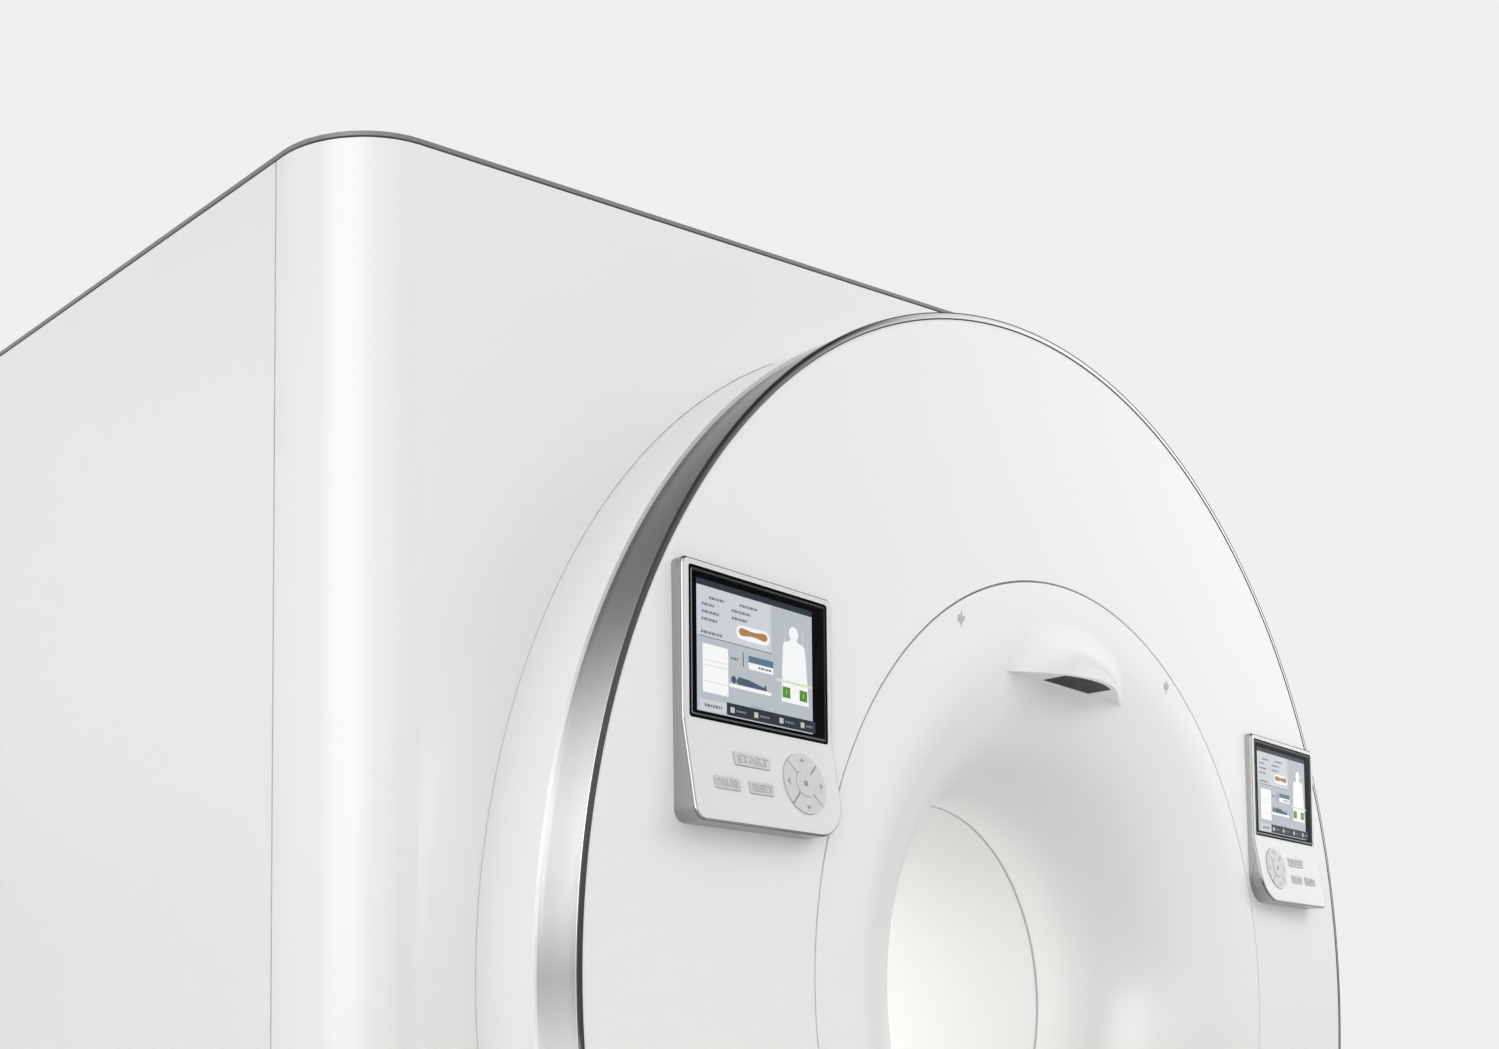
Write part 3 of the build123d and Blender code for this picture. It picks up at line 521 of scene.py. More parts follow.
@dataclass(frozen=True)
class BandWithPaintedReflection(Finish):
    """Turned metal with a painted reflection: its tone changes with height, light at the axis and
    dark higher up, in place of the room's light and dark that the band reflects.
    """

    reach: float
    stops: Tuple[Tuple[float, float], ...]
    roughness: Tuple[float, float] = (0.2, 0.28)

    def wire(self, recipe: Recipe, groups: SharedGroups) -> None:
        """Wire the shader up: the ramp reads the height above or below the axis over the reach and
        paints the reflection's light and dark from it.
        """
        split = recipe.node("SeparateXYZ", Vector=recipe.coordinates["Object"])
        away = recipe.math("ABSOLUTE", recipe.math("SUBTRACT", split.outputs["Z"], ISO))
        share = recipe.node("MapRange", From_Max=self.reach, Value=away).outputs["Result"]
        tones = [(place, (level, level * 1.008, level * 1.015)) for place, level in self.stops]
        ramp = recipe.ramp(share, tones)
        ramp.color_ramp.interpolation = "B_SPLINE"
        lines = recipe.group(groups.brushing, Fineness=700.0)
        recipe.set(Base_Color=ramp.outputs["Color"], Metallic=1.0)
        recipe.gloss(lines["Height"], self.roughness)
        recipe.bump(lines["Height"], 0.000003)


@dataclass(frozen=True)
class SheetMetal(Finish):
    """Metal or painted steel with dusty patches and specks."""

    tone: Rgb
    dusty: Rgb
    metallic: float

    def wire(self, recipe: Recipe, groups: SharedGroups) -> None:
        """Wire the shader up."""
        dust = recipe.group(groups.dust, Patch=4.0)
        recipe.set(Base_Color=recipe.mix(dust["Mask"], self.tone, self.dusty))
        recipe.set(Metallic=self.metallic)
        recipe.gloss(dust["Mask"], (0.35, 0.6))
        recipe.bump(dust["Height"], 0.00008)


@dataclass(frozen=True)
class TwoTonePanelWithPaintedEdgeLight(Finish):
    """White face with silver sides: the tone follows how far the surface faces -Y.

    Each stop is a share of facing, a tone and how metallic the shell is there. Round the rounded
    edge between the side and the face the stops paint a narrow dark line of painted shade and a
    bright line of painted highlight, in place of the reflections there.
    """

    stops: Tuple[Tuple[float, float, float], ...]

    def wire(self, recipe: Recipe, groups: SharedGroups) -> None:
        """Wire the shader up."""
        split = recipe.node("SeparateXYZ", Vector=recipe.coordinates["Normal"])
        facing = recipe.math("MULTIPLY", split.outputs["Y"], -1.0)
        tones = [(place, (tone, tone, tone * 1.005)) for place, tone, _ in self.stops]
        metals = [(place, (metal,) * 3) for place, _, metal in self.stops]
        recipe.set(
            Base_Color=recipe.ramp(facing, tones).outputs["Color"],
            Metallic=recipe.ramp(facing, metals).outputs["Color"],
        )
        grain = recipe.group(groups.grain, Scale=900.0, Drift=6.0)
        recipe.gloss(grain["Mask"], (0.18, 0.24))
        recipe.bump(grain["Height"], 0.000008)


@dataclass(frozen=True)
class DarkGlass(Finish):
    """Black glass plate with faint smears that change its gloss."""

    tone: Rgb
    haze: Rgb
    roughness: Tuple[float, float]
    specular: float

    def wire(self, recipe: Recipe, groups: SharedGroups) -> None:
        """Wire the shader up."""
        dust = recipe.group(groups.dust, Patch=22.0)
        recipe.set(Base_Color=recipe.mix(dust["Mask"], self.tone, self.haze))
        recipe.gloss(dust["Mask"], self.roughness)
        recipe.set(IOR=1.2, Specular_IOR_Level=self.specular)


@dataclass(frozen=True)
class LitGlass(Finish):
    """Lit display behind glass: a plain glow with a fine drift, or colours held by the mesh."""

    glow: Rgb = (1.0, 1.0, 1.0)
    from_mesh: bool = False
    dim: float = 0.93

    def wire(self, recipe: Recipe, groups: SharedGroups) -> None:
        """Wire the shader up."""
        grain = recipe.group(groups.grain, Scale=1500.0, Drift=9.0)
        if self.from_mesh:
            held = recipe.node("VertexColor")
            held.layer_name = "picture"
            colour = held.outputs["Color"]
        else:
            dimmer: Rgb = tuple(self.dim * level for level in self.glow)
            colour = recipe.mix(grain["Mask"], dimmer, self.glow)
        recipe.set(Emission_Color=colour, Emission_Strength=0.85)
        recipe.set(Base_Color=(0.02, 0.02, 0.022, 1), IOR=1.2, Specular_IOR_Level=0.3)
        recipe.gloss(grain["Mask"], (0.12, 0.2))


@dataclass(frozen=True)
class SoftVinyl(Finish):
    """Pebbled vinyl of the mat, with a soft sheen."""

    tone: Rgb
    shade: Rgb

    def wire(self, recipe: Recipe, groups: SharedGroups) -> None:
        """Wire the shader up."""
        pebbles = recipe.group(groups.weave, Scale=620.0)
        recipe.set(Base_Color=recipe.mix(pebbles["Mask"], self.shade, self.tone))
        recipe.gloss(pebbles["Height"], (0.42, 0.6))
        recipe.set(Sheen_Weight=0.15)
        recipe.bump(pebbles["Height"], 0.00025)


class Finishes:
    """Every finish of the scanner, by the record's material slot or by its own name."""

    def __init__(self) -> None:
        """Build all the materials."""
        groups = SharedGroups()
        recipes = {
            "cover_white": MouldedPaint("cover_paint", (0.83, 0.828, 0.82), (0.81, 0.808, 0.8)),
            "bore_white": MouldedPaint(
                "bore_paint", (0.86, 0.858, 0.85), (0.84, 0.838, 0.83), (0.28, 0.34)
            ),
            "bridge_white": MouldedPaint(
                "bridge_moulding", (0.8, 0.8, 0.79), (0.77, 0.77, 0.76), (0.4, 0.5), 0.0
            ),
            "trim_metal": MouldedPaint(
                "trim_strip", (0.23, 0.235, 0.24), (0.2, 0.205, 0.21), (0.34, 0.44), 0.0
            ),
            # The band's tone stops are a painted reflection: light near the axis, dark higher up.
            "band_metal": BandWithPaintedReflection(
                "disc_band",
                1.025,
                ((0.0, 0.5), (0.07, 0.84), (0.17, 1.0), (0.26, 0.8), (0.34, 0.42), (0.42, 0.19),
                 (0.5, 0.13), (0.6, 0.1), (0.75, 0.08), (0.87, 0.16), (1.0, 0.3)),
            ),
            "bead_metal": TurnedMetal(
                "rim_bead_polish", (0.68, 0.685, 0.69), (0.64, 0.645, 0.65), (0.08, 0.12)
            ),
            # Grey tone of the thin bore rings: painted shade standing in for a groove's dark line.
            "ring_grey": MouldedPaint(
                "bore_ring_paint", (0.46, 0.46, 0.455), (0.41, 0.41, 0.405), (0.3, 0.4), 0.0
            ),
            "frame_metal": SheetMetal("frame_extrusion", (0.6, 0.61, 0.62), (0.5, 0.5, 0.49), 1.0),
            "plinth_grey": SheetMetal(
                "plinth_paint", (0.12, 0.122, 0.125), (0.2, 0.2, 0.195), 0.0
            ),
            "dark_window": DarkGlass(
                "hood_window_glass", (0.011, 0.0115, 0.013), (0.017, 0.017, 0.019), (0.2, 0.3), 0.08
            ),
            "coil_resin": SheetMetal("coil_resin", (0.42, 0.36, 0.24), (0.46, 0.42, 0.33), 0.0),
            "vessel_steel": SheetMetal("vessel_steel", (0.6, 0.61, 0.62), (0.5, 0.5, 0.49), 1.0),
            "foot_steel": SheetMetal("foot_paint", (0.09, 0.095, 0.1), (0.16, 0.16, 0.155), 0.0),
            # Stops 0.42 to 0.62 paint a dark line of shade and 0.74 a bright highlight line round
            # the edge.
            "panel_silver": TwoTonePanelWithPaintedEdgeLight(
                "panel_shell",
                ((0.0, 0.36, 1.0), (0.2, 0.3, 1.0), (0.42, 0.16, 1.0), (0.62, 0.14, 1.0),
                 (0.74, 0.42, 1.0), (0.84, 0.3, 0.9), (0.95, 0.5, 0.6), (0.972, 0.71, 0.0)),
            ),
            "bezel_black": DarkGlass(
                "bezel_glass", (0.003, 0.003, 0.0035), (0.006, 0.006, 0.007), (0.08, 0.2), 0.1
            ),
            # Dark rings in the gaps beside the bead: a dark joint, and painted shade that darkens
            # the gaps.
            "joint_black": MouldedPaint(
                "rim_joint_rubber", (0.035, 0.035, 0.037), (0.045, 0.045, 0.046), (0.5, 0.6), 0.0
            ),
            "bezel_edge": TurnedMetal(
                "bezel_frame", (0.16, 0.165, 0.17), (0.13, 0.135, 0.14), (0.2, 0.28)
            ),
            "screen_glow": LitGlass("screen_ground", (0.56, 0.61, 0.645)),
            "picture": LitGlass("screen_picture", from_mesh=True),
            "key_grey": MouldedPaint(
                "key_cap", (0.61, 0.615, 0.62), (0.57, 0.575, 0.58), (0.3, 0.4), 0.1
            ),
            "word_grey": MouldedPaint(
                "key_word", (0.56, 0.565, 0.57), (0.52, 0.525, 0.53), (0.3, 0.4), 0.1
            ),
            "glyph_grey": MouldedPaint(
                "key_glyph", (0.3, 0.3, 0.3), (0.26, 0.26, 0.26), (0.4, 0.5), 0.0
            ),
            "mark_grey": MouldedPaint(
                "printed_mark", (0.5, 0.5, 0.5), (0.45, 0.45, 0.45), (0.4, 0.5), 0.0
            ),
            "table_grey": SheetMetal("table_paint", (0.5, 0.505, 0.51), (0.44, 0.44, 0.43), 0.0),
            "table_white": MouldedPaint("table_moulding", (0.82, 0.82, 0.81), (0.79, 0.79, 0.78)),
            "top_grey": MouldedPaint(
                "tray_composite", (0.66, 0.66, 0.65), (0.61, 0.61, 0.6), (0.4, 0.5), 0.0
            ),
            "mat_vinyl": SoftVinyl("mat_vinyl", (0.1, 0.13, 0.17), (0.085, 0.11, 0.15)),
        }
        self.by_name: Dict[str, bpy.types.Material] = {
            key: recipe.build(groups) for key, recipe in recipes.items()
        }

    def __getitem__(self, name: str) -> bpy.types.Material:
        """The material of that name."""
        return self.by_name[name]


# ---------------------------------------------------------------- sub-assemblies


@dataclass
class Dressing:
    """What every sub-assembly needs: the loaded frame and the finishes."""

    frame: Dict
    finishes: Finishes

    @staticmethod
    def swap(piece: bpy.types.Object, slot_name: str, body: str, *nodes: str) -> None:
        """Make a piece stand for CAD nodes and move with a body.

        Args:
            piece: The finished piece.
            slot_name: The record's material slot it belongs to; not used.
            body: The CAD body it moves with.
            *nodes: The CAD nodes it stands for, if any.
        """
        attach(piece, body)
        if nodes:
            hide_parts(*nodes)
        LOG.info("%s: %d faces on %s", piece.name, len(piece.data.polygons), body)

    def ring(
        self, name: str, profile: np.ndarray, slot_name: str, *nodes: str,
        finish: str = "", segments: int = 384,
    ) -> None:
        """Turn a profile about the bore's axis and let the ring ride with the gantry.

        Args:
            name: Name of the piece.
            profile: Array (n, 2) of (y, radius), closed.
            slot_name: The record's material slot it belongs to.
            *nodes: The CAD nodes it stands for, if any.
            finish: Its finish, if that isn't the slot's own.
            segments: Number of steps round the axis.
        """
        piece = spun(name, profile, self.finishes[finish or slot_name], segments)
        self.swap(piece, slot_name, GANTRY, *nodes)


@dataclass
class CadCoats(Dressing):
    """Gives each CAD node that stays visible the finish of its slot."""

    def dress(self) -> None:
        """Put one procedural material on every node by the record's slots."""
        for row in self.frame["record"]["subparts"]:
            node = self.frame["nodes"][row["node"]]
            node.data.materials.clear()
            node.data.materials.append(self.finishes[row["material_slot"]])
        LOG.info("dressed %d CAD nodes", len(self.frame["nodes"]))


@dataclass
class Disc(Dressing):
    """The round disc: band, bead, neck and the domed white face."""

    front: float = -0.925
    radius: float = 1.025
    band_depth: float = 0.073
    band_inner: float = 1.0164
    flange_inner: float = 1.0245
    flange_height: float = 0.0014
    rear_radius: float = 1.0175
    bead_outer: float = 1.0235
    bead_inner: float = 1.0167
    bead_wall: float = 0.0012
    bead_crown: float = 0.0007
    joint_top: float = 0.0022
    joint_back: float = 0.003
    gap: float = 0.0001
    clear: float = 0.00002
    face_radius: float = 1.0152
    face_step: float = 0.0009
    face_bevel: float = 0.0045
    face_fall: float = 0.0014
    face_top: float = -0.935
    face_back: float = -0.921
    seam_outer: float = 0.6355
    neck_radius: float = 1.023
    neck_inner: float = 1.011
    neck_rear: float = -0.72
    neck_flange_inner: float = 0.825
    neck_flange: float = 0.006
    joint_shoulder: float = 0.0004
    band_rounds: Tuple[float, ...] = (0, 0, 0.0001, 0.0004, 0.0005, 0)
    neck_rounds: Tuple[float, ...] = (0, 0.0008, 0, 0, 0, 0)
    face_rounds: Tuple[float, ...] = (0, 0.0008, 0.006, 0.0005, 0)

    def dress(self) -> None:
        """Build the band with its flange, the bead, its dark joints that also paint the gaps'
        shade, the neck and the face.
        """
        front, rear = self.front, self.front + self.band_depth
        lip = front - self.flange_height
        band = [
            (front, self.band_inner), (front, self.flange_inner), (lip, self.flange_inner),
            (lip, self.radius), (rear, self.rear_radius), (rear, self.band_inner),
        ]
        self.ring("disc_band", rounded(band, self.band_rounds), "band_metal", "accent_band")
        self.bead()
        self.joints(lip)
        flange = self.neck_rear - self.neck_flange
        neck = [
            (rear, self.neck_inner), (rear, self.neck_radius), (self.neck_rear, self.neck_radius),
            (self.neck_rear, self.neck_flange_inner), (flange, self.neck_flange_inner),
            (flange, self.neck_inner),
        ]
        self.ring("disc_neck", rounded(neck, self.neck_rounds), "cover_white", "neck_collar")
        self.face()

    def bead(self) -> None:
        """Polished bead whose crown falls with the cube of the share of its width."""
        share = np.linspace(0, 1, 17)
        depth = self.front - self.bead_wall - self.bead_crown * (1 - share**3)
        radius = self.bead_inner + (self.bead_outer - self.bead_inner) * share
        foot = np.array([(self.front, self.bead_outer), (self.front, self.bead_inner)])
        profile = np.concatenate([np.stack([depth, radius], axis=1), foot])
        self.ring("disc_bead", profile, "bead_metal", "rim_bead")

    def joints(self, lip: float) -> None:
        """Thin dark rings that close the gaps inside and outside the bead: dark joints, and painted
        shade that darkens those gaps.
        """
        front, back = self.front, self.front + self.joint_back
        near, far = self.face_radius + self.gap, self.bead_inner - self.gap
        top, floor = front - self.joint_top, front - self.clear
        joint = [
            (back, near), (front, near), (top, far - self.joint_shoulder), (top, far),
            (floor, far), (floor, self.band_inner - self.gap), (back, self.band_inner - self.gap),
        ]
        near, far = self.bead_outer + self.gap, self.flange_inner - self.gap
        edge = [(floor, near), (front - self.bead_wall, near), (lip, far), (floor, far)]
        for name, corners in (("rim_joint", joint), ("rim_edge", edge)):
            self.ring(name, np.array(corners), "bezel_black", finish="joint_black")

    def face(self) -> None:
        """The face's closed profile: a shallow cone with rounded edges and a flat back."""
        step = self.front - self.face_step
        corners = [
            (self.face_back, self.seam_outer), (self.face_top, self.seam_outer),
            (step - self.face_fall, self.face_radius - self.face_bevel),
            (step, self.face_radius), (self.face_back, self.face_radius),
        ]
        self.ring("disc_face", rounded(corners, self.face_rounds, 10), "cover_white", "face_disc")


@dataclass
class BoreLining(Dressing):
    """Flared mouths, bore tube and its thin rings."""

    seam: float = 0.6329
    throat: float = 0.325
    mouth_y: float = -0.935
    throat_y: float = -0.655
    wall: float = 0.006
    flange_outer: float = 0.654
    flange_inner: float = 0.614
    face_back: float = -0.921
    rear_mouth: float = 0.52
    rear_y: float = 0.925
    rear_throat_y: float = 0.7
    rear_flange: float = 0.02
    ring_width: float = 0.004
    ring_proud: float = 0.0006
    edge_depth: float = 0.0005
    edge_width: float = 0.0006
    skin_depth: float = 0.006
    ring_rounds: Tuple[float, ...] = (0.0005, 0.0005, 0, 0)

    def flare_y(self, radius: np.ndarray) -> np.ndarray:
        """Depth of the front flare's surface at a radius.

        The superellipse solved for depth: with s = the share of the radius lost, the depth is
        mouth + length (1 - (1 - s^2.5)^0.4).

        Args:
            radius: Distances from the bore's axis.

        Returns:
            Depths of the same shape.
        """
        share = np.clip((self.seam - radius) / (self.seam - self.throat), 0, 1)
        reach = 1 - np.power(1 - share**2.5, 0.4)
        return self.mouth_y + (self.throat_y - self.mouth_y) * reach

    def dress(self) -> None:
        """Build both mouths and the bore between them."""
        self.front_mouth()
        self.rear_mouth_ring()
        front, rear = self.throat_y + self.ring_width, self.rear_throat_y - self.ring_width
        proud, outer = self.throat - self.ring_proud, self.throat + self.wall
        for name, radius, start, end, node, finish in (
            ("bore_tube", self.throat, front, rear, "bore_liner", ""),
            # The rings' grey finish is painted shade in place of a groove at the bore's edge.
            ("front_ring", proud, self.throat_y, front, "bore_ring_front", "ring_grey"),
            ("rear_ring", proud, rear, self.rear_throat_y, "bore_ring_rear", "ring_grey"),
        ):
            corners = [(start, radius), (end, radius), (end, outer), (start, outer)]
            profile = rounded(corners, self.ring_rounds, 3)
            self.ring(name, profile, "bore_white", node, finish=finish, segments=256)

    def front_mouth(self) -> None:
        """Flare from the seam to the throat, with a flange behind the face."""
        flare = superellipse_flare(self.seam, self.throat, self.mouth_y, self.throat_y)
        flare[0] = (self.mouth_y + self.edge_depth, self.seam)
        flare = np.insert(flare, 1, (self.mouth_y, self.seam - self.edge_width), axis=0)
        back = superellipse_flare(
            self.flange_inner, self.throat + self.wall, self.mouth_y + self.wall, self.throat_y, 24
        )
        thick = self.face_back + self.wall
        outer = [
            (thick, self.flange_inner), (thick, self.flange_outer),
            (self.face_back, self.flange_outer), (self.face_back, self.seam),
        ]
        profile = np.concatenate([flare, back[::-1], outer])
        self.ring("front_mouth", profile, "cover_white", "bell_mouth_front")

    def rear_mouth_ring(self) -> None:
        """Plainer flare at the rear with a flange behind the rear cover's skin."""
        inner, outer = self.rear_mouth - self.rear_flange, self.rear_mouth + self.rear_flange
        rear = superellipse_flare(self.rear_mouth, self.throat, self.rear_y, self.rear_throat_y, 48)
        back = superellipse_flare(
            inner, self.throat + self.wall, self.rear_y - self.wall, self.rear_throat_y, 24
        )
        skin = self.rear_y - self.skin_depth
        flange = [
            (skin - self.wall, inner), (skin - self.wall, outer), (skin, outer),
            (skin, self.rear_mouth),
        ]
        profile = np.concatenate([rear, back[::-1], flange])
        self.ring("rear_mouth", profile, "cover_white", "bell_mouth_rear", segments=256)


@dataclass
class Hood(Dressing):
    """Soft peaked hood over the bore, with a flat underside round a dark window."""

    lining: BoreLining = field(default=None)
    lip_z: float = 0.481
    rise: float = 0.113
    half_width: float = 0.174
    reach: float = 0.0665
    arch: float = 0.003
    lip_round: float = 0.0015
    window_half: float = 0.069
    window_back: float = -0.921
    window_corner: float = -0.962
    window_front: float = -0.975
    window_thick: float = 0.0025
    window_hub: float = -0.945
    pole: float = -0.95
    sink: float = 0.0003
    overlap: float = 0.004
    sill_rise: float = 0.001

    def surface(self, across: np.ndarray, up: np.ndarray) -> np.ndarray:
        """Points of the hood's skin.

        Across runs from -1 to 1 over a width that closes with (1 - up^3)^0.4. The skin stands
        in front of the flare by reach (1 - up)^2.7 (1 - across^2)^p less a hair, so it dips
        under the flare at its sides and tip; p grows from 1.35 at the lip to 2 above. The lip
        arches up by arch (1 - across^2), which fades upwards.

        Args:
            across: Share of the half width.
            up: Share of the rise.

        Returns:
            Array (..., 3) of points in metres.
        """
        across, up = np.broadcast_arrays(across, up)
        width = self.half_width * np.clip(1 - up**3, 0, 1) ** 0.4
        x = across * width
        z = self.lip_z + self.rise * up + self.arch * (1 - across**2) * (1 - up)
        power = 1.35 + 0.65 * np.clip(up / 0.4, 0, 1)
        fall = (1 - up) ** 2.7
        proud = self.reach * fall * np.clip(1 - across**2, 0, 1) ** power
        y = self.lining.flare_y(np.hypot(x, z)) + self.sink - proud
        return np.stack([x, y, ISO + z], axis=-1)

    def dress(self) -> None:
        """Build the skin with its rounded lip, then the flat underside and the window."""
        across = np.linspace(-1, 1, 161)
        up = np.linspace(0, 1, 81)
        skin = self.surface(across[None, :], up[:, None])
        lip = skin[0]
        turn = np.linspace(0, math.pi / 2, 5)[:, None]
        proud = np.clip(1 - across**2, 0, 1)[None, :]
        roll = np.stack(
            [
                lip[None, :, 0] + 0 * turn,
                lip[None, :, 1] + self.lip_round * proud * (1 - np.cos(turn)),
                lip[None, :, 2] - self.lip_round * np.sin(turn),
            ],
            axis=-1,
        )
        points = np.concatenate([roll[::-1], skin[1:]])
        quads = grid_faces(points.shape[0], points.shape[1])
        skin_piece = new_piece(
            "hood_skin", points.reshape(-1, 3), quads, self.finishes["cover_white"]
        )
        self.swap(turned_from(skin_piece, Y_AXIS), "cover_white", GANTRY)
        self.window(self.underside(roll[-1]))

    def underside(self, lip: np.ndarray) -> np.ndarray:
        """Flat ring between the lip and the window, both read as distance against angle.

        Args:
            lip: Array (n, 3) of the lip's lowest line from left to right.

        Returns:
            Array (m, 3): the window's sill.
        """
        height = lip[len(lip) // 2, 2]
        back_x = np.linspace(self.half_width, -self.half_width, 60)
        back_y = self.lining.flare_y(np.hypot(back_x, self.lip_z)) + self.overlap
        outer = np.concatenate([lip[:, :2], np.stack([back_x, back_y], axis=1)[1:-1]])
        front_x = np.linspace(-self.window_half, self.window_half, 30)
        sag = (self.window_corner - self.window_front) * (1 - (front_x / self.window_half) ** 2)
        front = np.stack([front_x, self.window_corner - sag], axis=1)
        corners = [(self.window_half, self.window_back), (-self.window_half, self.window_back)]
        angles = np.linspace(-math.pi, math.pi, 361)[:-1]
        rings = []
        for outline, arched in ((outer, True), (np.concatenate([front, corners]), False)):
            flat = self.by_angle(outline, np.array([0.0, self.pole]), angles)
            drop = self.arch * np.clip((flat[:, 0] / self.half_width) ** 2, 0, 1)
            rings.append(np.column_stack([flat, height - arched * drop]))
        sill = rings[1] + np.array([0, 0, self.sill_rise])
        quads = grid_faces(3, len(angles), wrap_cols=True)
        piece = new_piece(
            "hood_underside", np.concatenate([*rings, sill]), quads, self.finishes["cover_white"]
        )
        self.swap(turned_from(piece, Z_AXIS), "cover_white", GANTRY)
        return sill

    @staticmethod
    def by_angle(outline: np.ndarray, centre: np.ndarray, angles: np.ndarray) -> np.ndarray:
        """Points of a closed outline at given angles round a centre, by its distance there."""
        closed = np.concatenate([outline, outline[:1]])
        dense = np.concatenate(
            [a + (b - a) * np.linspace(0, 1, 24)[:, None] for a, b in zip(closed, closed[1:])]
        )
        away = dense - centre
        order = np.argsort(np.arctan2(away[:, 1], away[:, 0]))
        bearing = np.arctan2(away[order, 1], away[order, 0])
        far = np.interp(angles, bearing, np.hypot(*away[order].T), period=2 * math.pi)
        return centre + np.stack([far * np.cos(angles), far * np.sin(angles)], axis=1)

    def window(self, sill: np.ndarray) -> None:
        """Dark plate set into the underside, a closed slab on the sill's outline."""
        count = len(sill)
        hub = np.array([[0.0, self.window_hub, sill[0, 2]]])
        rise = np.array([0, 0, self.window_thick])
        points = np.concatenate([hub, sill, sill + rise, hub + rise])
        near = np.arange(count)
        following = (near + 1) % count
        under = np.stack([0 * near, 1 + near, 1 + following], 1)
        over = np.stack([0 * near + 2 * count + 1, 1 + count + following, 1 + count + near], 1)
        walls = np.stack([1 + near, 1 + count + near, 1 + count + following, 1 + following], 1)
        faces = [*under.tolist(), *over.tolist(), *walls.tolist()]
        piece = link_mesh("hood_glass", points, faces, self.finishes["dark_window"])
        self.swap(turned_from(piece, Z_AXIS, count), "dark_window", GANTRY, "hood_window")


@dataclass
class FlatArt(Dressing):
    """Thin flat shapes on a plane, collected and made one mesh with colours on its corners."""

    origin: np.ndarray = field(default=None)
    right: np.ndarray = field(default=None)
    up: np.ndarray = field(default=None)
    lift: float = 0.00004

    def __post_init__(self) -> None:
        """Start with no shapes."""
        self.outlines: List[np.ndarray] = []
        self.colours: List[Rgb] = []

    def add(self, outline: Sequence, colour: Rgb) -> None:
        """Lay one more shape over those before it."""
        self.outlines.append(np.asarray(outline, float))
        self.colours.append(colour)

    def rectangle(self, left: float, low: float, right: float, high: float, colour: Rgb) -> None:
        """Lay a plain rectangle."""
        self.add([(left, low), (right, low), (right, high), (left, high)], colour)

    def disc(self, x: float, y: float, radius: float, colour: Rgb) -> None:
        """Lay a round shape of 28 points."""
        t = np.linspace(0, 2 * math.pi, 28, endpoint=False)
        self.add(np.stack([x + radius * np.cos(t), y + radius * np.sin(t)], 1), colour)

    def finish(self, name: str, material: bpy.types.Material) -> bpy.types.Object:
        """Make the mesh: each shape a face a little above the one before.

        Args:
            name: Name of the piece.
            material: Material that reads the colours.

        Returns:
            The new object.
        """
        out = np.cross(self.right, self.up)
        points, faces, start = [], [], 0
        for number, outline in enumerate(self.outlines):
            height = self.lift * (number + 1)
            flat = self.origin + outline[:, :1] * self.right + outline[:, 1:] * self.up
            points.append(flat + out * height)
            faces.append(list(range(start, start + len(outline))))
            start += len(outline)
        piece = link_mesh(name, np.concatenate(points), faces, material)
        layer = piece.data.color_attributes.new("picture", "FLOAT_COLOR", "CORNER")
        counts = [len(face) for face in faces]
        shades = np.repeat(np.array([(*c, 1.0) for c in self.colours]), counts, axis=0)
        layer.data.foreach_set("color", shades.astype(np.float32).ravel())
        return piece


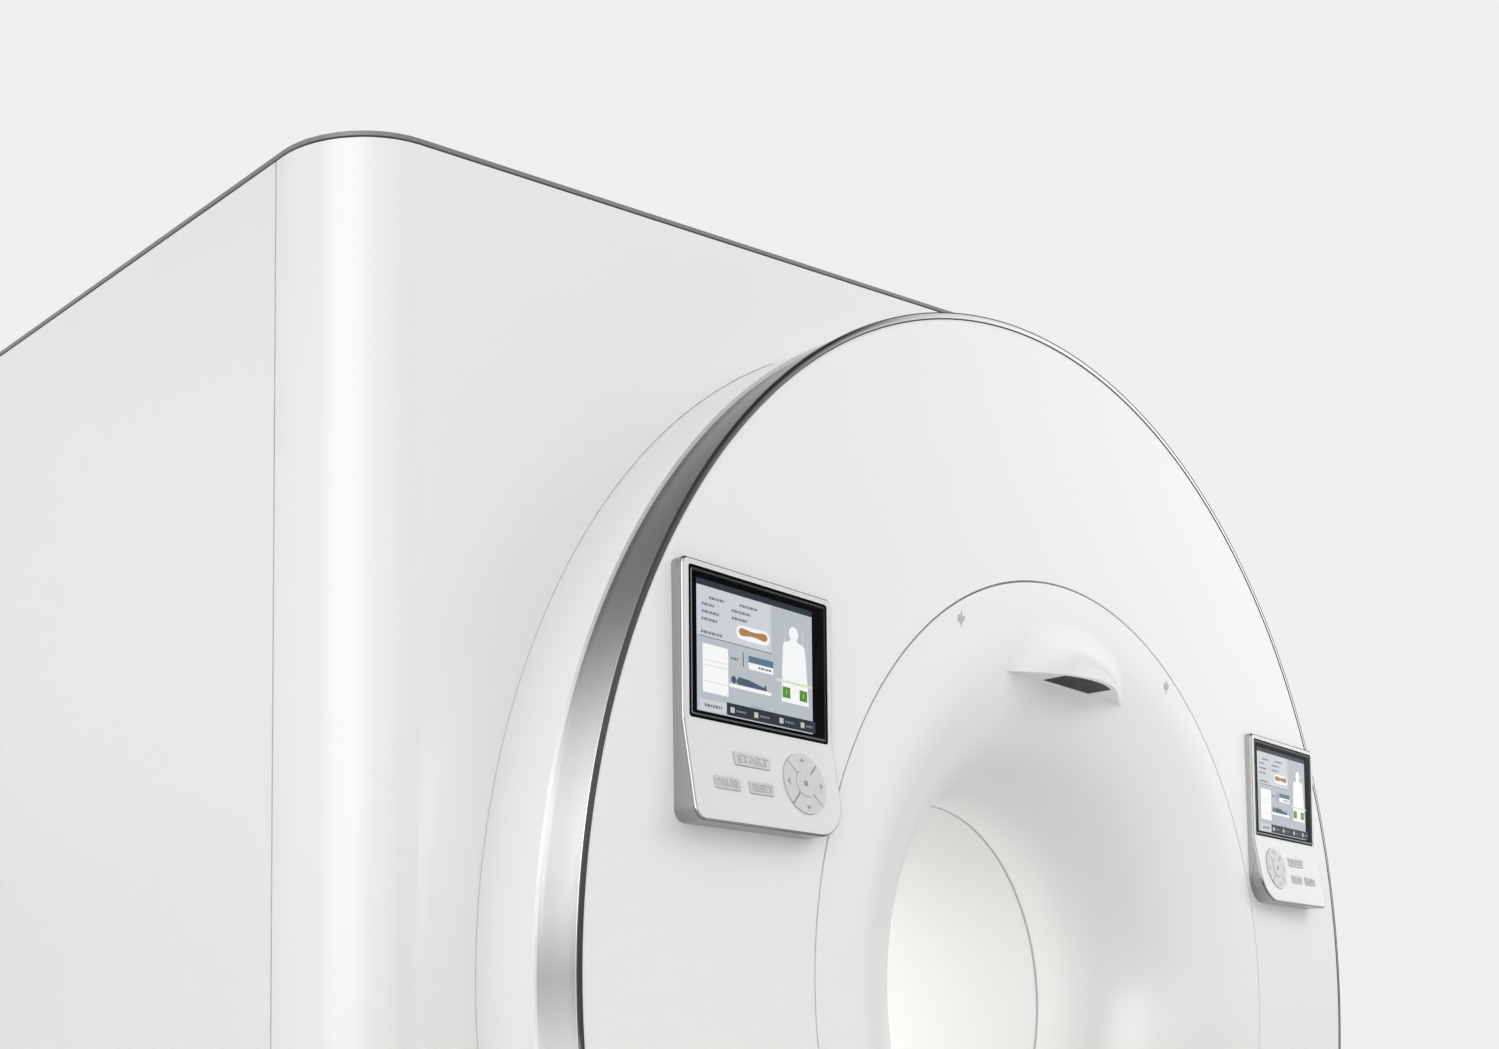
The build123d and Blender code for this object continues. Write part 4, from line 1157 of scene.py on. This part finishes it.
@dataclass
class ScreenArt(FlatArt):
    """Picture of a screen, laid out in shares of its lit area."""

    width: float = 0.208
    lit: float = 0.1488

    def upright(self, u0: float, v0: float, u1: float, v1: float, colour: Rgb) -> None:
        """Rectangle with v counted upwards."""
        self.rectangle(u0 * self.width, v0 * self.lit, u1 * self.width, v1 * self.lit, colour)

    def box(self, u0: float, v0: float, u1: float, v1: float, colour: Rgb) -> None:
        """Rectangle with v counted downwards."""
        self.upright(u0, 1 - v1, u1, 1 - v0, colour)

    def shape(self, u: Sequence[float], v: Sequence[float], colour: Rgb) -> None:
        """Any outline, with v counted upwards."""
        self.add(np.stack([np.array(u) * self.width, np.array(v) * self.lit], 1), colour)

    def bars(self, tall: float, colour: Rgb, *places: Tuple[float, float, float]) -> None:
        """Bars from u0 to u1 at v, broken like lines of small print by three lengths of dash."""
        for u0, u1, v in places:
            u, number = u0, 0
            while u < u1 - 0.004:
                dash = (0.016, 0.024, 0.011)[number % 3]
                self.box(u, v, min(u + dash, u1), v + tall, colour)
                u += dash + 0.005
                number += 1

    def limb(
        self, u0: float, u1: float, v: float, thick: float, colour: Rgb, waist: float
    ) -> None:
        """Long rounded shape with a waist: half thickness t (1 - waist sin^2) with round ends."""
        s = np.linspace(0, 1, 25)
        ends = np.sqrt(np.clip(1 - (2 * s - 1) ** 8, 0, 1))
        half = thick * self.lit * ends * (1 - waist * np.sin(math.pi * s) ** 2)
        x = self.width * (u0 + (u1 - u0) * s)
        y = self.lit * (1 - v) + 0 * s
        self.add(np.stack([np.r_[x, x[::-1]], np.r_[y - half, (y + half)[::-1]]], 1), colour)

    def lay_out(self) -> None:
        """Lay the whole picture: fields, print, and a lying and a standing figure."""
        white, ink, slate = (1.05, 1.06, 1.06), (0.1, 0.12, 0.14), (0.016, 0.027, 0.036)
        pale, soft = (0.68, 0.72, 0.75), (0.2, 0.23, 0.26)
        self.box(0, -0.0484, 1, 0, slate)
        self.box(0.0, 0.0, 0.63, 0.4, pale)
        self.box(0.265, 0.02, 0.62, 0.39, (0.7, 0.735, 0.76))
        self.box(0.02, 0.4, 0.63, 0.406, ink)
        self.bars(
            0.022, soft, (0.1, 0.225, 0.075), (0.04, 0.14, 0.135), (0.04, 0.18, 0.195),
            (0.035, 0.16, 0.255), (0.03, 0.2, 0.36), (0.35, 0.5, 0.07), (0.28, 0.44, 0.13),
            (0.28, 0.41, 0.19),
        )
        self.limb(0.315, 0.605, 0.3, 0.058, white, 0.0)
        self.limb(0.335, 0.585, 0.295, 0.036, (0.48, 0.24, 0.08), 0.45)
        self.box(0.035, 0.465, 0.245, 0.85, white)
        for v in (0.59, 0.63, 0.76):
            self.box(0.045, v, 0.235, v + 0.005, pale)
        self.bars(0.02, soft, (0.265, 0.33, 0.52))
        self.box(0.366, 0.46, 0.374, 0.58, ink)
        self.box(0.415, 0.475, 0.63, 0.53, (0.12, 0.2, 0.28))
        self.box(0.415, 0.53, 0.63, 0.585, white)
        self.bars(0.018, soft, (0.5, 0.61, 0.548))
        self.lying_figure(white)
        self.standing_figure(white)
        self.box(0.42, 0.885, 0.54, 0.89, soft)
        self.box(0.0, 0.91, 0.22, 1.0, pale)
        self.bars(0.024, soft, (0.04, 0.18, 0.945))
        self.box(0.22, 0.9, 1.0, 1.0, slate)
        for u in (0.25, 0.45, 0.67, 0.86):
            self.box(u, 0.93, u + 0.035, 0.975, (0.6, 0.62, 0.58))
            self.bars(0.018, (0.2, 0.24, 0.27), (u + 0.05, min(u + 0.13, 0.97), 0.945))

    def lying_figure(self, white: Rgb) -> None:
        """Figure lying on a table: a head, a body that thins to the feet, and the table."""
        blue = (0.07, 0.115, 0.18)
        self.upright(0.25, 0.235, 0.61, 0.262, white)
        self.disc(0.287 * self.width, self.lit * 0.298, 0.0046, blue)
        u = (0.308, 0.33, 0.42, 0.5, 0.545, 0.56, 0.57, 0.56, 0.32)
        v = (0.29, 0.33, 0.322, 0.302, 0.29, 0.32, 0.268, 0.265, 0.268)
        self.shape(u, v, blue)

    def standing_figure(self, white: Rgb) -> None:
        """Standing figure: head, neck, shoulders and a long body, with two green fields."""
        green, line = (0.1, 0.3, 0.03), (0.68, 0.75, 0.42)
        for u0 in (0.735, 0.893):
            self.upright(u0, 0.7, u0 + 0.004, 0.87, (0.78, 0.81, 0.83))
        self.disc(0.813 * self.width, self.lit * 0.803, 0.0088, white)
        u = (0.7, 0.707, 0.717, 0.73, 0.775, 0.79, 0.838, 0.853, 0.9, 0.915, 0.93, 0.947)
        v = (0.215, 0.5, 0.69, 0.72, 0.735, 0.76, 0.76, 0.735, 0.72, 0.69, 0.5, 0.215)
        self.shape(u, v, white)
        for u0 in (0.708, 0.862):
            self.upright(u0, 0.25, u0 + 0.07, 0.342, green)
            self.upright(u0 + 0.032, 0.28, u0 + 0.038, 0.315, line)
        self.upright(0.65, 0.376, 0.98, 0.396, (0.82, 0.87, 0.66))
        for u0 in np.linspace(0.655, 0.965, 12):
            self.upright(u0, 0.378, u0 + 0.012, 0.39, line)


@dataclass
class Panel(Dressing):
    """One control panel: lit picture, words on the keys and glyphs on the pad."""

    side: Side = Side.LEFT
    center_x: float = 0.741
    foot_z: float = 1.252
    foot_y: float = -0.967
    slope: float = math.atan(22 / 120)
    key_proud: float = 0.002
    hub_proud: float = 0.003
    letter_size: float = 0.02
    letter_thick: float = 0.0006
    letter_bevel: float = 0.0002
    letter_bold: float = 0.0001
    letter_rise: float = 0.0004
    word_share: Tuple[float, float] = (0.86, 0.6)
    edge_inset: float = 0.0032
    edge_width: float = 0.0026
    edge_rise: float = 0.0005
    edge_gap: float = 0.0001
    edge_corner: float = 0.002
    arrow_reach: float = 0.027
    square_half: float = 0.0034
    print_lift: float = 0.00012

    def __post_init__(self) -> None:
        """Work out the keypad's plane."""
        self.label = self.side.name.lower()
        self.key_right = np.array([1.0, 0.0, 0.0])
        self.key_up = np.array([0.0, math.sin(self.slope), math.cos(self.slope)])
        self.key_out = np.cross(self.key_right, self.key_up)
        self.key_origin = np.array([self.side.value * self.center_x, self.foot_y, self.foot_z])

    def on_plane(self, node: str) -> np.ndarray:
        """Point of the keypad's plane under the middle of a key."""
        low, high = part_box(node)
        centre = (np.array(low) + np.array(high)) / 2
        rise = (centre - self.key_origin) @ self.key_up
        along = centre[0] - self.key_origin[0]
        return self.key_origin + self.key_right * along + self.key_up * rise

    def dress(self) -> None:
        """Dress the whole panel."""
        self.picture()
        self.glass_edge()
        for word in ("start", "pause", "reset"):
            self.word(word)
        self.glyphs()

    def glass_edge(self) -> None:
        """Raise a thin bevelled frame on the black glass: outer line high, inner line low."""
        low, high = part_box(f"{self.label}_panel_bezel")
        rings = []
        for inset, proud in ((0.0, 0.0), (0.0, 1.0), (0.3, 1.0), (1.0, 0.1), (1.0, 0.0)):
            step = self.edge_inset + inset * self.edge_width
            left, right = low.x + step, high.x - step
            foot, top = low.z + step, high.z - step
            corners = [(left, foot), (right, foot), (right, top), (left, top)]
            outline = rounded(corners, [self.edge_corner] * 4)
            depth = np.full(len(outline), low.y - proud * self.edge_rise + self.edge_gap)
            rings.append(np.column_stack([outline[:, 0], depth, outline[:, 1]]))
        quads = grid_faces(len(rings), len(rings[0]), wrap_cols=True)
        name = f"{self.label}_glass_edge"
        piece = new_piece(name, np.concatenate(rings), quads, self.finishes["bezel_edge"])
        self.swap(turned_from(piece, Y_AXIS), "bezel_black", GANTRY)

    def picture(self) -> None:
        """Lay the screen's picture out of plain fields and simple shapes."""
        corner = np.array(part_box(f"{self.label}_panel_screen")[0])
        right, up = np.array([1.0, 0, 0]), np.array([0, 0, 1.0])
        art = ScreenArt(self.frame, self.finishes, origin=corner, right=right, up=up)
        art.lay_out()
        piece = art.finish(f"{self.label}_screen_picture", self.finishes["picture"])
        self.swap(piece, "screen_glow", GANTRY)

    def word(self, word: str) -> None:
        """Raise the key's own word on its cap, from Blender's plain built-in letters."""
        node = f"{self.label}_{word}_key"
        low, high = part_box(node)
        text = bpy.data.curves.new(f"{node}_word", "FONT")
        text.body = word.upper()
        text.align_x, text.align_y = "CENTER", "CENTER"
        text.size = self.letter_size
        text.extrude = self.letter_thick
        text.bevel_depth = self.letter_bevel
        text.offset = self.letter_bold
        holder = bpy.data.objects.new(f"{node}_word", text)
        bpy.context.scene.collection.objects.link(holder)
        bpy.context.view_layer.update()
        mesh = bpy.data.meshes.new_from_object(holder)
        bpy.data.objects.remove(holder)
        letters = np.array([vertex.co[:] for vertex in mesh.vertices])
        reach = np.stack([letters.min(axis=0), letters.max(axis=0)])
        mesh.transform(Matrix.Translation(-Vector((*reach.mean(axis=0)[:2], 0.0))))
        plate = np.array([high[0] - low[0], (high[2] - low[2]) / math.cos(self.slope)])
        fit = plate * self.word_share / (reach[1] - reach[0])[:2]
        frame = Matrix((self.key_right, self.key_up, self.key_out)).transposed().to_4x4()
        rise = self.key_proud + self.letter_rise
        frame.translation = Vector(self.on_plane(node) + self.key_out * rise)
        mesh.transform(frame @ Matrix.Diagonal((fit[0], fit[1], 1.0, 1.0)))
        mesh.materials.clear()
        mesh.materials.append(self.finishes["word_grey"])
        piece = bpy.data.objects.new(f"{node}_word", mesh)
        bpy.context.scene.collection.objects.link(piece)
        self.swap(piece, "key_grey", node)

    def glyphs(self) -> None:
        """Put an arrow on each pad sector and a small square on the centre key."""
        hub = self.on_plane(f"{self.label}_pad_centre")
        for key in PadKey:
            turn = math.radians(key.value)
            ahead = np.array([math.cos(turn), math.sin(turn)])
            aside = np.array([-math.sin(turn), math.cos(turn)])
            outline = [
                ahead * (self.arrow_reach + f) + aside * s
                for f, s in ((0.0, -0.0052), (0.0066, 0.0), (0.0, 0.0052), (0.0022, 0.0))
            ]
            self.print_mark(key.name.lower(), np.array(outline), hub, self.key_proud)
        square = self.square_half * np.array([(-1.0, -1.0), (1.0, -1.0), (1.0, 1.0), (-1.0, 1.0)])
        self.print_mark("centre", square, hub, self.hub_proud)

    def print_mark(self, key: str, outline: np.ndarray, hub: np.ndarray, proud: float) -> None:
        """Lay one small printed mark on a pad key and let it ride with that key."""
        node = f"{self.label}_pad_{key}"
        art = FlatArt(
            self.frame, self.finishes, origin=hub + self.key_out * proud, right=self.key_right,
            up=self.key_up, lift=self.print_lift,
        )
        art.add(outline, (0.3, 0.3, 0.3))
        self.swap(art.finish(f"{node}_glyph", self.finishes["glyph_grey"]), "key_grey", node)


@dataclass
class MouthMarks(Dressing):
    """Small grey printed marks on the flare and at the top of the bore."""

    lining: BoreLining = field(default=None)
    mark_x: float = 0.303
    mark_z: float = 0.530
    mark_scale: float = 1.5
    mark_lift: float = 0.00025
    dash_length: float = 0.004
    dashes: Tuple[Tuple[float, float], ...] = ((-0.014, 0.3252), (0.008, 0.3245))

    def dress(self) -> None:
        """Lay two arrow marks near the seam and two dashes by the bore's ring."""
        outline = np.array(
            [(-0.006, -0.001), (-0.004, 0.004), (-0.001, 0.003), (0.001, 0.009),
             (0.003, 0.003), (0.007, 0.004), (0.005, -0.002), (0.002, -0.003),
             (0.001, -0.009), (-0.002, -0.003), (-0.004, -0.005)]
        )
        for sign, name in ((-1, "left_mark"), (1, "right_mark")):
            centre = np.array([sign * self.mark_x, self.mark_z])
            x, z = (centre + self.mark_scale * outline).T
            self.lay(name, x, self.lining.flare_y(np.hypot(x, z)) - self.mark_lift, z)
        turn = np.radians(np.array([90.2, 92.2, 92.2, 90.2]))
        for number, (shift, radius) in enumerate(self.dashes, start=1):
            start = self.lining.throat_y + shift
            depth = np.repeat([start, start + self.dash_length], 2)
            self.lay(f"bore_dash_{number}", radius * np.cos(turn), depth, radius * np.sin(turn))

    def lay(self, name: str, x: np.ndarray, y: np.ndarray, z: np.ndarray) -> None:
        """Make one mark as a single face, z from the axis, and let it ride with the gantry."""
        points = np.stack([x, y, ISO + z], axis=1)
        piece = link_mesh(name, points, [list(range(len(points)))], self.finishes["mark_grey"])
        self.swap(piece, "cover_white", GANTRY)


@dataclass
class TableMat(Dressing):
    """Soft mat in the tray of the table top, plumped by a short cloth simulation."""

    inset: float = 0.004
    frames: int = 16
    cap: float = 0.006
    pressure: float = 3.0
    shoulder: float = 0.35
    foot: float = 0.001
    puff: float = 0.004
    slack: float = 0.0002
    groove_half: float = 0.007
    groove_depth: float = 0.008

    def block(self) -> bpy.types.Object:
        """Closed crowned slab: a rounded rectangle whose top rises by a flat-topped crown.

        The crown is (1 - |a|^8)^0.25 (1 - |b|^24)^0.25 over shares a of the half width and b of
        the half length. The top stands at the inset plus the thickness times the shoulder, and
        the crown adds the rest.

        Returns:
            The new object.
        """
        low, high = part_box("table_mat")
        low, high = np.array(low), np.array(high)
        half = (high - low)[:2] / 2 - self.inset
        centre = (high + low)[:2] / 2
        a, b = np.meshgrid(np.linspace(-1, 1, 61), np.linspace(-1, 1, 221), indexing="ij")
        crown = (1 - np.abs(a) ** 8) ** 0.25 * (1 - np.abs(b) ** 24) ** 0.25
        thick = high[2] - low[2] - 2 * self.inset
        x, y = centre[0] + a * half[0], centre[1] + b * half[1]
        share = self.shoulder + (1 - self.shoulder) * crown
        top = np.stack([x, y, low[2] + self.inset + thick * share], -1)
        under = np.stack([x, y, np.full_like(x, low[2] + self.foot)], -1)
        rows, cols = a.shape
        count = rows * cols
        top_faces = grid_faces(rows, cols)
        under_faces = top_faces[:, ::-1] + count
        edge = np.concatenate(
            [
                np.arange(cols),
                np.arange(1, rows) * cols + cols - 1,
                (rows - 1) * cols + np.arange(cols - 2, -1, -1),
                np.arange(rows - 2, 0, -1) * cols,
            ]
        )
        following = np.roll(edge, -1)
        wall = np.stack([edge, following, following + count, edge + count], 1)
        points = np.concatenate([top.reshape(-1, 3), under.reshape(-1, 3)])
        faces = outward(points, np.concatenate([top_faces, under_faces, wall[:, ::-1]]))
        return new_piece("soft_mat", points, faces, self.finishes["mat_vinyl"])

    @staticmethod
    def corners(piece: bpy.types.Object) -> np.ndarray:
        """Array (n, 3) of a piece's corners."""
        flat = np.zeros(len(piece.data.vertices) * 3)
        piece.data.vertices.foreach_get("co", flat)
        return flat.reshape(-1, 3)

    @staticmethod
    def move(piece: bpy.types.Object, points: np.ndarray) -> None:
        """Put the corners of a piece elsewhere."""
        piece.data.vertices.foreach_set("co", points.ravel())
        piece.data.update()

    def plump(self, piece: bpy.types.Object) -> None:
        """Blow the mat up a little with cloth pressure and cap how far any point moves."""
        before = self.corners(piece)
        cloth = piece.modifiers.new("plump", "CLOTH")
        cloth.settings.effector_weights.gravity = 0.0
        cloth.settings.use_pressure = True
        cloth.settings.uniform_pressure_force = self.pressure
        cloth.settings.quality = 5
        scene = bpy.context.scene
        for frame in range(1, self.frames + 1):
            scene.frame_set(frame)
        graph = bpy.context.evaluated_depsgraph_get()
        moved = self.corners(piece.evaluated_get(graph)) - before
        piece.modifiers.remove(cloth)
        scene.frame_set(1)
        reach = np.linalg.norm(moved, axis=1, keepdims=True)
        moved *= np.minimum(1, self.cap / np.maximum(reach, 1e-9))
        low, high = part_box("table_mat")
        room = np.array(low) - self.slack, np.array(high) + (0.0, 0.0, self.puff)
        self.move(piece, np.clip(before + moved, *room))

    def seams(self, piece: bpy.types.Object) -> None:
        """Press sewn channels across the mat: a narrow bell-shaped groove at each quarter."""
        co = self.corners(piece)
        low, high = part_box("table_mat")
        middle = (low.z + high.z) / 2
        step = (high.y - low.y) / 4
        groove = np.zeros(len(co))
        for number in (1, 2, 3):
            groove += np.exp(-(((co[:, 1] - low.y - number * step) / self.groove_half) ** 2))
        co[:, 2] -= np.where(co[:, 2] > middle, self.groove_depth * groove, 0)
        self.move(piece, co)

    def dress(self) -> None:
        """Build, plump and seam the mat."""
        piece = self.block()
        self.plump(piece)
        self.seams(piece)
        self.swap(piece, "mat_vinyl", "table_top", "table_mat")


# ---------------------------------------------------------------- studio


@dataclass
class Studio:
    """Pale floor and world, soft lamps and the photograph's camera.

    The sky is a table of elevations in degrees and levels. A soft box is two azimuths, two
    elevations, the angle of its soft edge and its level. A shade is two azimuths, its soft edge
    and its level.
    """

    lens: float = 38.37
    shift: float = 0.2951
    place: Tuple[float, float, float] = (-2.1698, -2.2270, 0.9908)
    yaw: float = 0.8302
    pitch: float = 0.0510
    roll: float = -0.0091
    backdrop: Rgb = (0.868, 0.868, 0.865)
    ambient: float = 0.79
    sky: Tuple[Tuple[float, float], ...] = (
        (-90, 0.5), (-8, 0.45), (4, 0.6), (10, 0.98), (20, 0.98), (28, 0.62), (36, 0.17),
        (90, 0.14),
    )
    boxes: Tuple[Tuple[float, ...], ...] = (
        (-157, -134, -60, 60, 20, 4.0),
        (-112, -98, -60, 60, 22, 0.9),
        (-32, -14, 11, 40, 10, 0.8),
        (100, 126, 6, 60, 14, -0.2),
    )
    shades: Tuple[Tuple[float, ...], ...] = ((-75, -49, 24, -0.87), (-10, 90, 7, -0.93))

    def camera(self) -> None:
        """Place the camera from its solved yaw, pitch and roll."""
        across = np.array([math.cos(self.yaw), -math.sin(self.yaw), 0.0])
        level = math.cos(self.pitch)
        ahead = np.array(
            [math.sin(self.yaw) * level, math.cos(self.yaw) * level, math.sin(self.pitch)]
        )
        upward = np.cross(across, ahead)
        turned = math.cos(self.roll) * across + math.sin(self.roll) * upward
        raised = -math.sin(self.roll) * across + math.cos(self.roll) * upward
        data = bpy.data.cameras.new("photo_camera")
        data.lens, data.sensor_width = self.lens, 36.0
        data.shift_x, data.shift_y = 0.0, self.shift
        data.clip_start, data.clip_end = 0.05, 100.0
        camera = bpy.data.objects.new("photo_camera", data)
        basis = Matrix((turned, raised, -ahead)).transposed().to_4x4()
        basis.translation = Vector(self.place)
        camera.matrix_world = basis
        bpy.context.scene.collection.objects.link(camera)
        bpy.context.scene.camera = camera

    def world(self) -> None:
        """Flat pale background for the eye and for gloss, softer ambient light for the rest."""
        world = bpy.data.worlds.new("studio")
        bpy.context.scene.world = world
        world.use_nodes = True
        world.node_tree.nodes.clear()
        wiring = Wiring(world.node_tree)
        seen = wiring.node("Background", Color=(*self.backdrop, 1), Strength=1.0)
        fill = wiring.node("Background", Color=(1.0, 0.998, 0.992, 1), Strength=self.ambient)
        gloss = wiring.node("Background", Color=self.gloss_sky(wiring), Strength=1.0)
        path = wiring.node("LightPath").outputs
        sheen = wiring.math("MAXIMUM", path["Is Glossy Ray"], path["Is Transmission Ray"])
        unseen = self.either(wiring, sheen, fill.outputs[0], gloss.outputs[0])
        total = self.either(wiring, path["Is Camera Ray"], unseen, seen.outputs[0])
        wiring.node("OutputWorld", Surface=total)

    @staticmethod
    def either(wiring: Wiring, factor: Socket, first: Socket, second: Socket) -> Socket:
        """One shader where the factor is 0 and another where it is 1."""
        blend = wiring.node("MixShader", Fac=factor)
        wiring.feed(blend.inputs[1], first)
        wiring.feed(blend.inputs[2], second)
        return blend.outputs["Shader"]

    def gloss_sky(self, wiring: Wiring) -> Socket:
        """Sky that gloss shows: a pale band above the horizon, a dark ceiling and soft boxes.

        Elevation is asin(z) and azimuth is atan2(y, x) of the ray. Each soft box adds its level
        times a smooth window in elevation and a smooth window in azimuth; the shades dim the
        parts of the room that the disc's metal and glass reflect as dark.
        """
        ray = wiring.node("TexCoord").outputs["Generated"]
        split = wiring.node("SeparateXYZ", Vector=ray).outputs
        elevation = wiring.math("ARCSINE", split["Z"])
        azimuth = wiring.math("ARCTAN2", split["Y"], split["X"])
        quarter = math.pi / 2
        spread = wiring.node("MapRange", From_Min=-quarter, From_Max=quarter, Value=elevation)
        stops = [((degrees + 90) / 180, (level,) * 3) for degrees, level in self.sky]
        total = wiring.ramp(spread.outputs["Result"], stops).outputs["Color"]
        for low, high, soft, level in self.shades:
            dark = self.window(wiring, azimuth, low, high, soft)
            kept = wiring.math("MULTIPLY_ADD", dark, level, 1.0)
            total = wiring.math("MULTIPLY", total, kept)
        for west, east, low, high, soft, level in self.boxes:
            tall = self.window(wiring, elevation, low, high, soft)
            wide = self.window(wiring, azimuth, west, east, soft)
            both = wiring.math("MULTIPLY", tall, wide)
            total = wiring.math("MULTIPLY_ADD", both, level, total)
        return total

    @staticmethod
    def window(wiring: Wiring, source: Socket, low: float, high: float, soft: float) -> Socket:
        """Smooth window: 1 between two angles in degrees, fading to 0 over the soft angle."""
        half = math.radians((high - low) / 2)
        offset = wiring.math("SUBTRACT", source, math.radians((high + low) / 2))
        away = wiring.math("ABSOLUTE", offset)
        fade = wiring.node("MapRange")
        fade.interpolation_type = "SMOOTHSTEP"
        outer = half + math.radians(soft)
        wiring.fill(fade, Value=away, From_Min=half, From_Max=outer, To_Min=1.0, To_Max=0.0)
        return fade.outputs["Result"]

    @staticmethod
    def lamp(
        name: str, place: Sequence[float], target: Sequence[float], size: float, power: float,
        spread: float,
    ) -> None:
        """Add one soft square lamp that looks at a point and that gloss doesn't show.

        Args:
            name: Name of the lamp.
            place: Where it stands.
            target: What it looks at.
            size: Width and height in metres.
            power: Power in watts.
            spread: Angle of its beam in degrees.
        """
        data = bpy.data.lights.new(name, "AREA")
        data.shape = "RECTANGLE"
        data.size, data.size_y = size, size
        data.energy = power
        data.spread = math.radians(spread)
        lamp = bpy.data.objects.new(name, data)
        direction = Vector(target) - Vector(place)
        lamp.rotation_mode = "QUATERNION"
        lamp.rotation_quaternion = direction.to_track_quat("-Z", "Y")
        lamp.location = place
        lamp.visible_camera = False
        lamp.visible_glossy = False
        bpy.context.scene.collection.objects.link(lamp)

    def floor(self) -> None:
        """Pale floor that shows as the backdrop and keeps the object's soft shadow."""
        reach = 30.0
        points = reach * np.array([(-1, -1, 0), (1, -1, 0), (1, 1, 0), (-1, 1, 0)])
        recipe = Recipe("floor_finish")
        recipe.set(Base_Color=(*self.backdrop, 1), Roughness=0.7)
        floor = new_piece("studio_floor", points, np.array([[0, 1, 2, 3]]), recipe.material)

    def build(self) -> None:
        """Set the whole studio up."""
        bpy.context.scene.view_settings.view_transform = "Standard"
        self.world()
        self.floor()
        for name, place, target, size, power, spread in (
            ("key_lamp", (2.6, -4.6, 4.4), (0.4, -0.9, 1.6), 2.5, 79, 180),
            ("left_lamp", (-9.0, 2.0, 3.6), (-1.2, 0.0, 1.4), 4.0, 92, 180),
            ("fill_lamp", (-4.8, -4.4, 2.2), (-0.9, -0.8, 1.2), 2.5, 33, 180),
            ("mouth_lamp", (-3.4, -3.6, 0.6), (0.35, -0.7, 0.92), 1.0, 0.25, 14),
            ("bore_lamp", (-0.12, 0.6, 1.2), (0.12, -0.6, 1.07), 0.25, 2.8, 80),
        ):
            self.lamp(name, place, target, size, power, spread)
        self.camera()


def clear_scene() -> None:
    """Remove what Blender starts with."""
    for thing in list(bpy.data.objects):
        bpy.data.objects.remove(thing)


def main() -> None:
    """Load the frame, build every sub-assembly in order and set up the studio."""
    clear_scene()
    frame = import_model()
    finishes = Finishes()
    CadCoats(frame, finishes).dress()
    Disc(frame, finishes).dress()
    lining = BoreLining(frame, finishes)
    lining.dress()
    Hood(frame, finishes, lining).dress()
    MouthMarks(frame, finishes, lining).dress()
    for side in Side:
        Panel(frame, finishes, side).dress()
    TableMat(frame, finishes).dress()
    Studio().build()


if __name__ == "__main__":
    main()
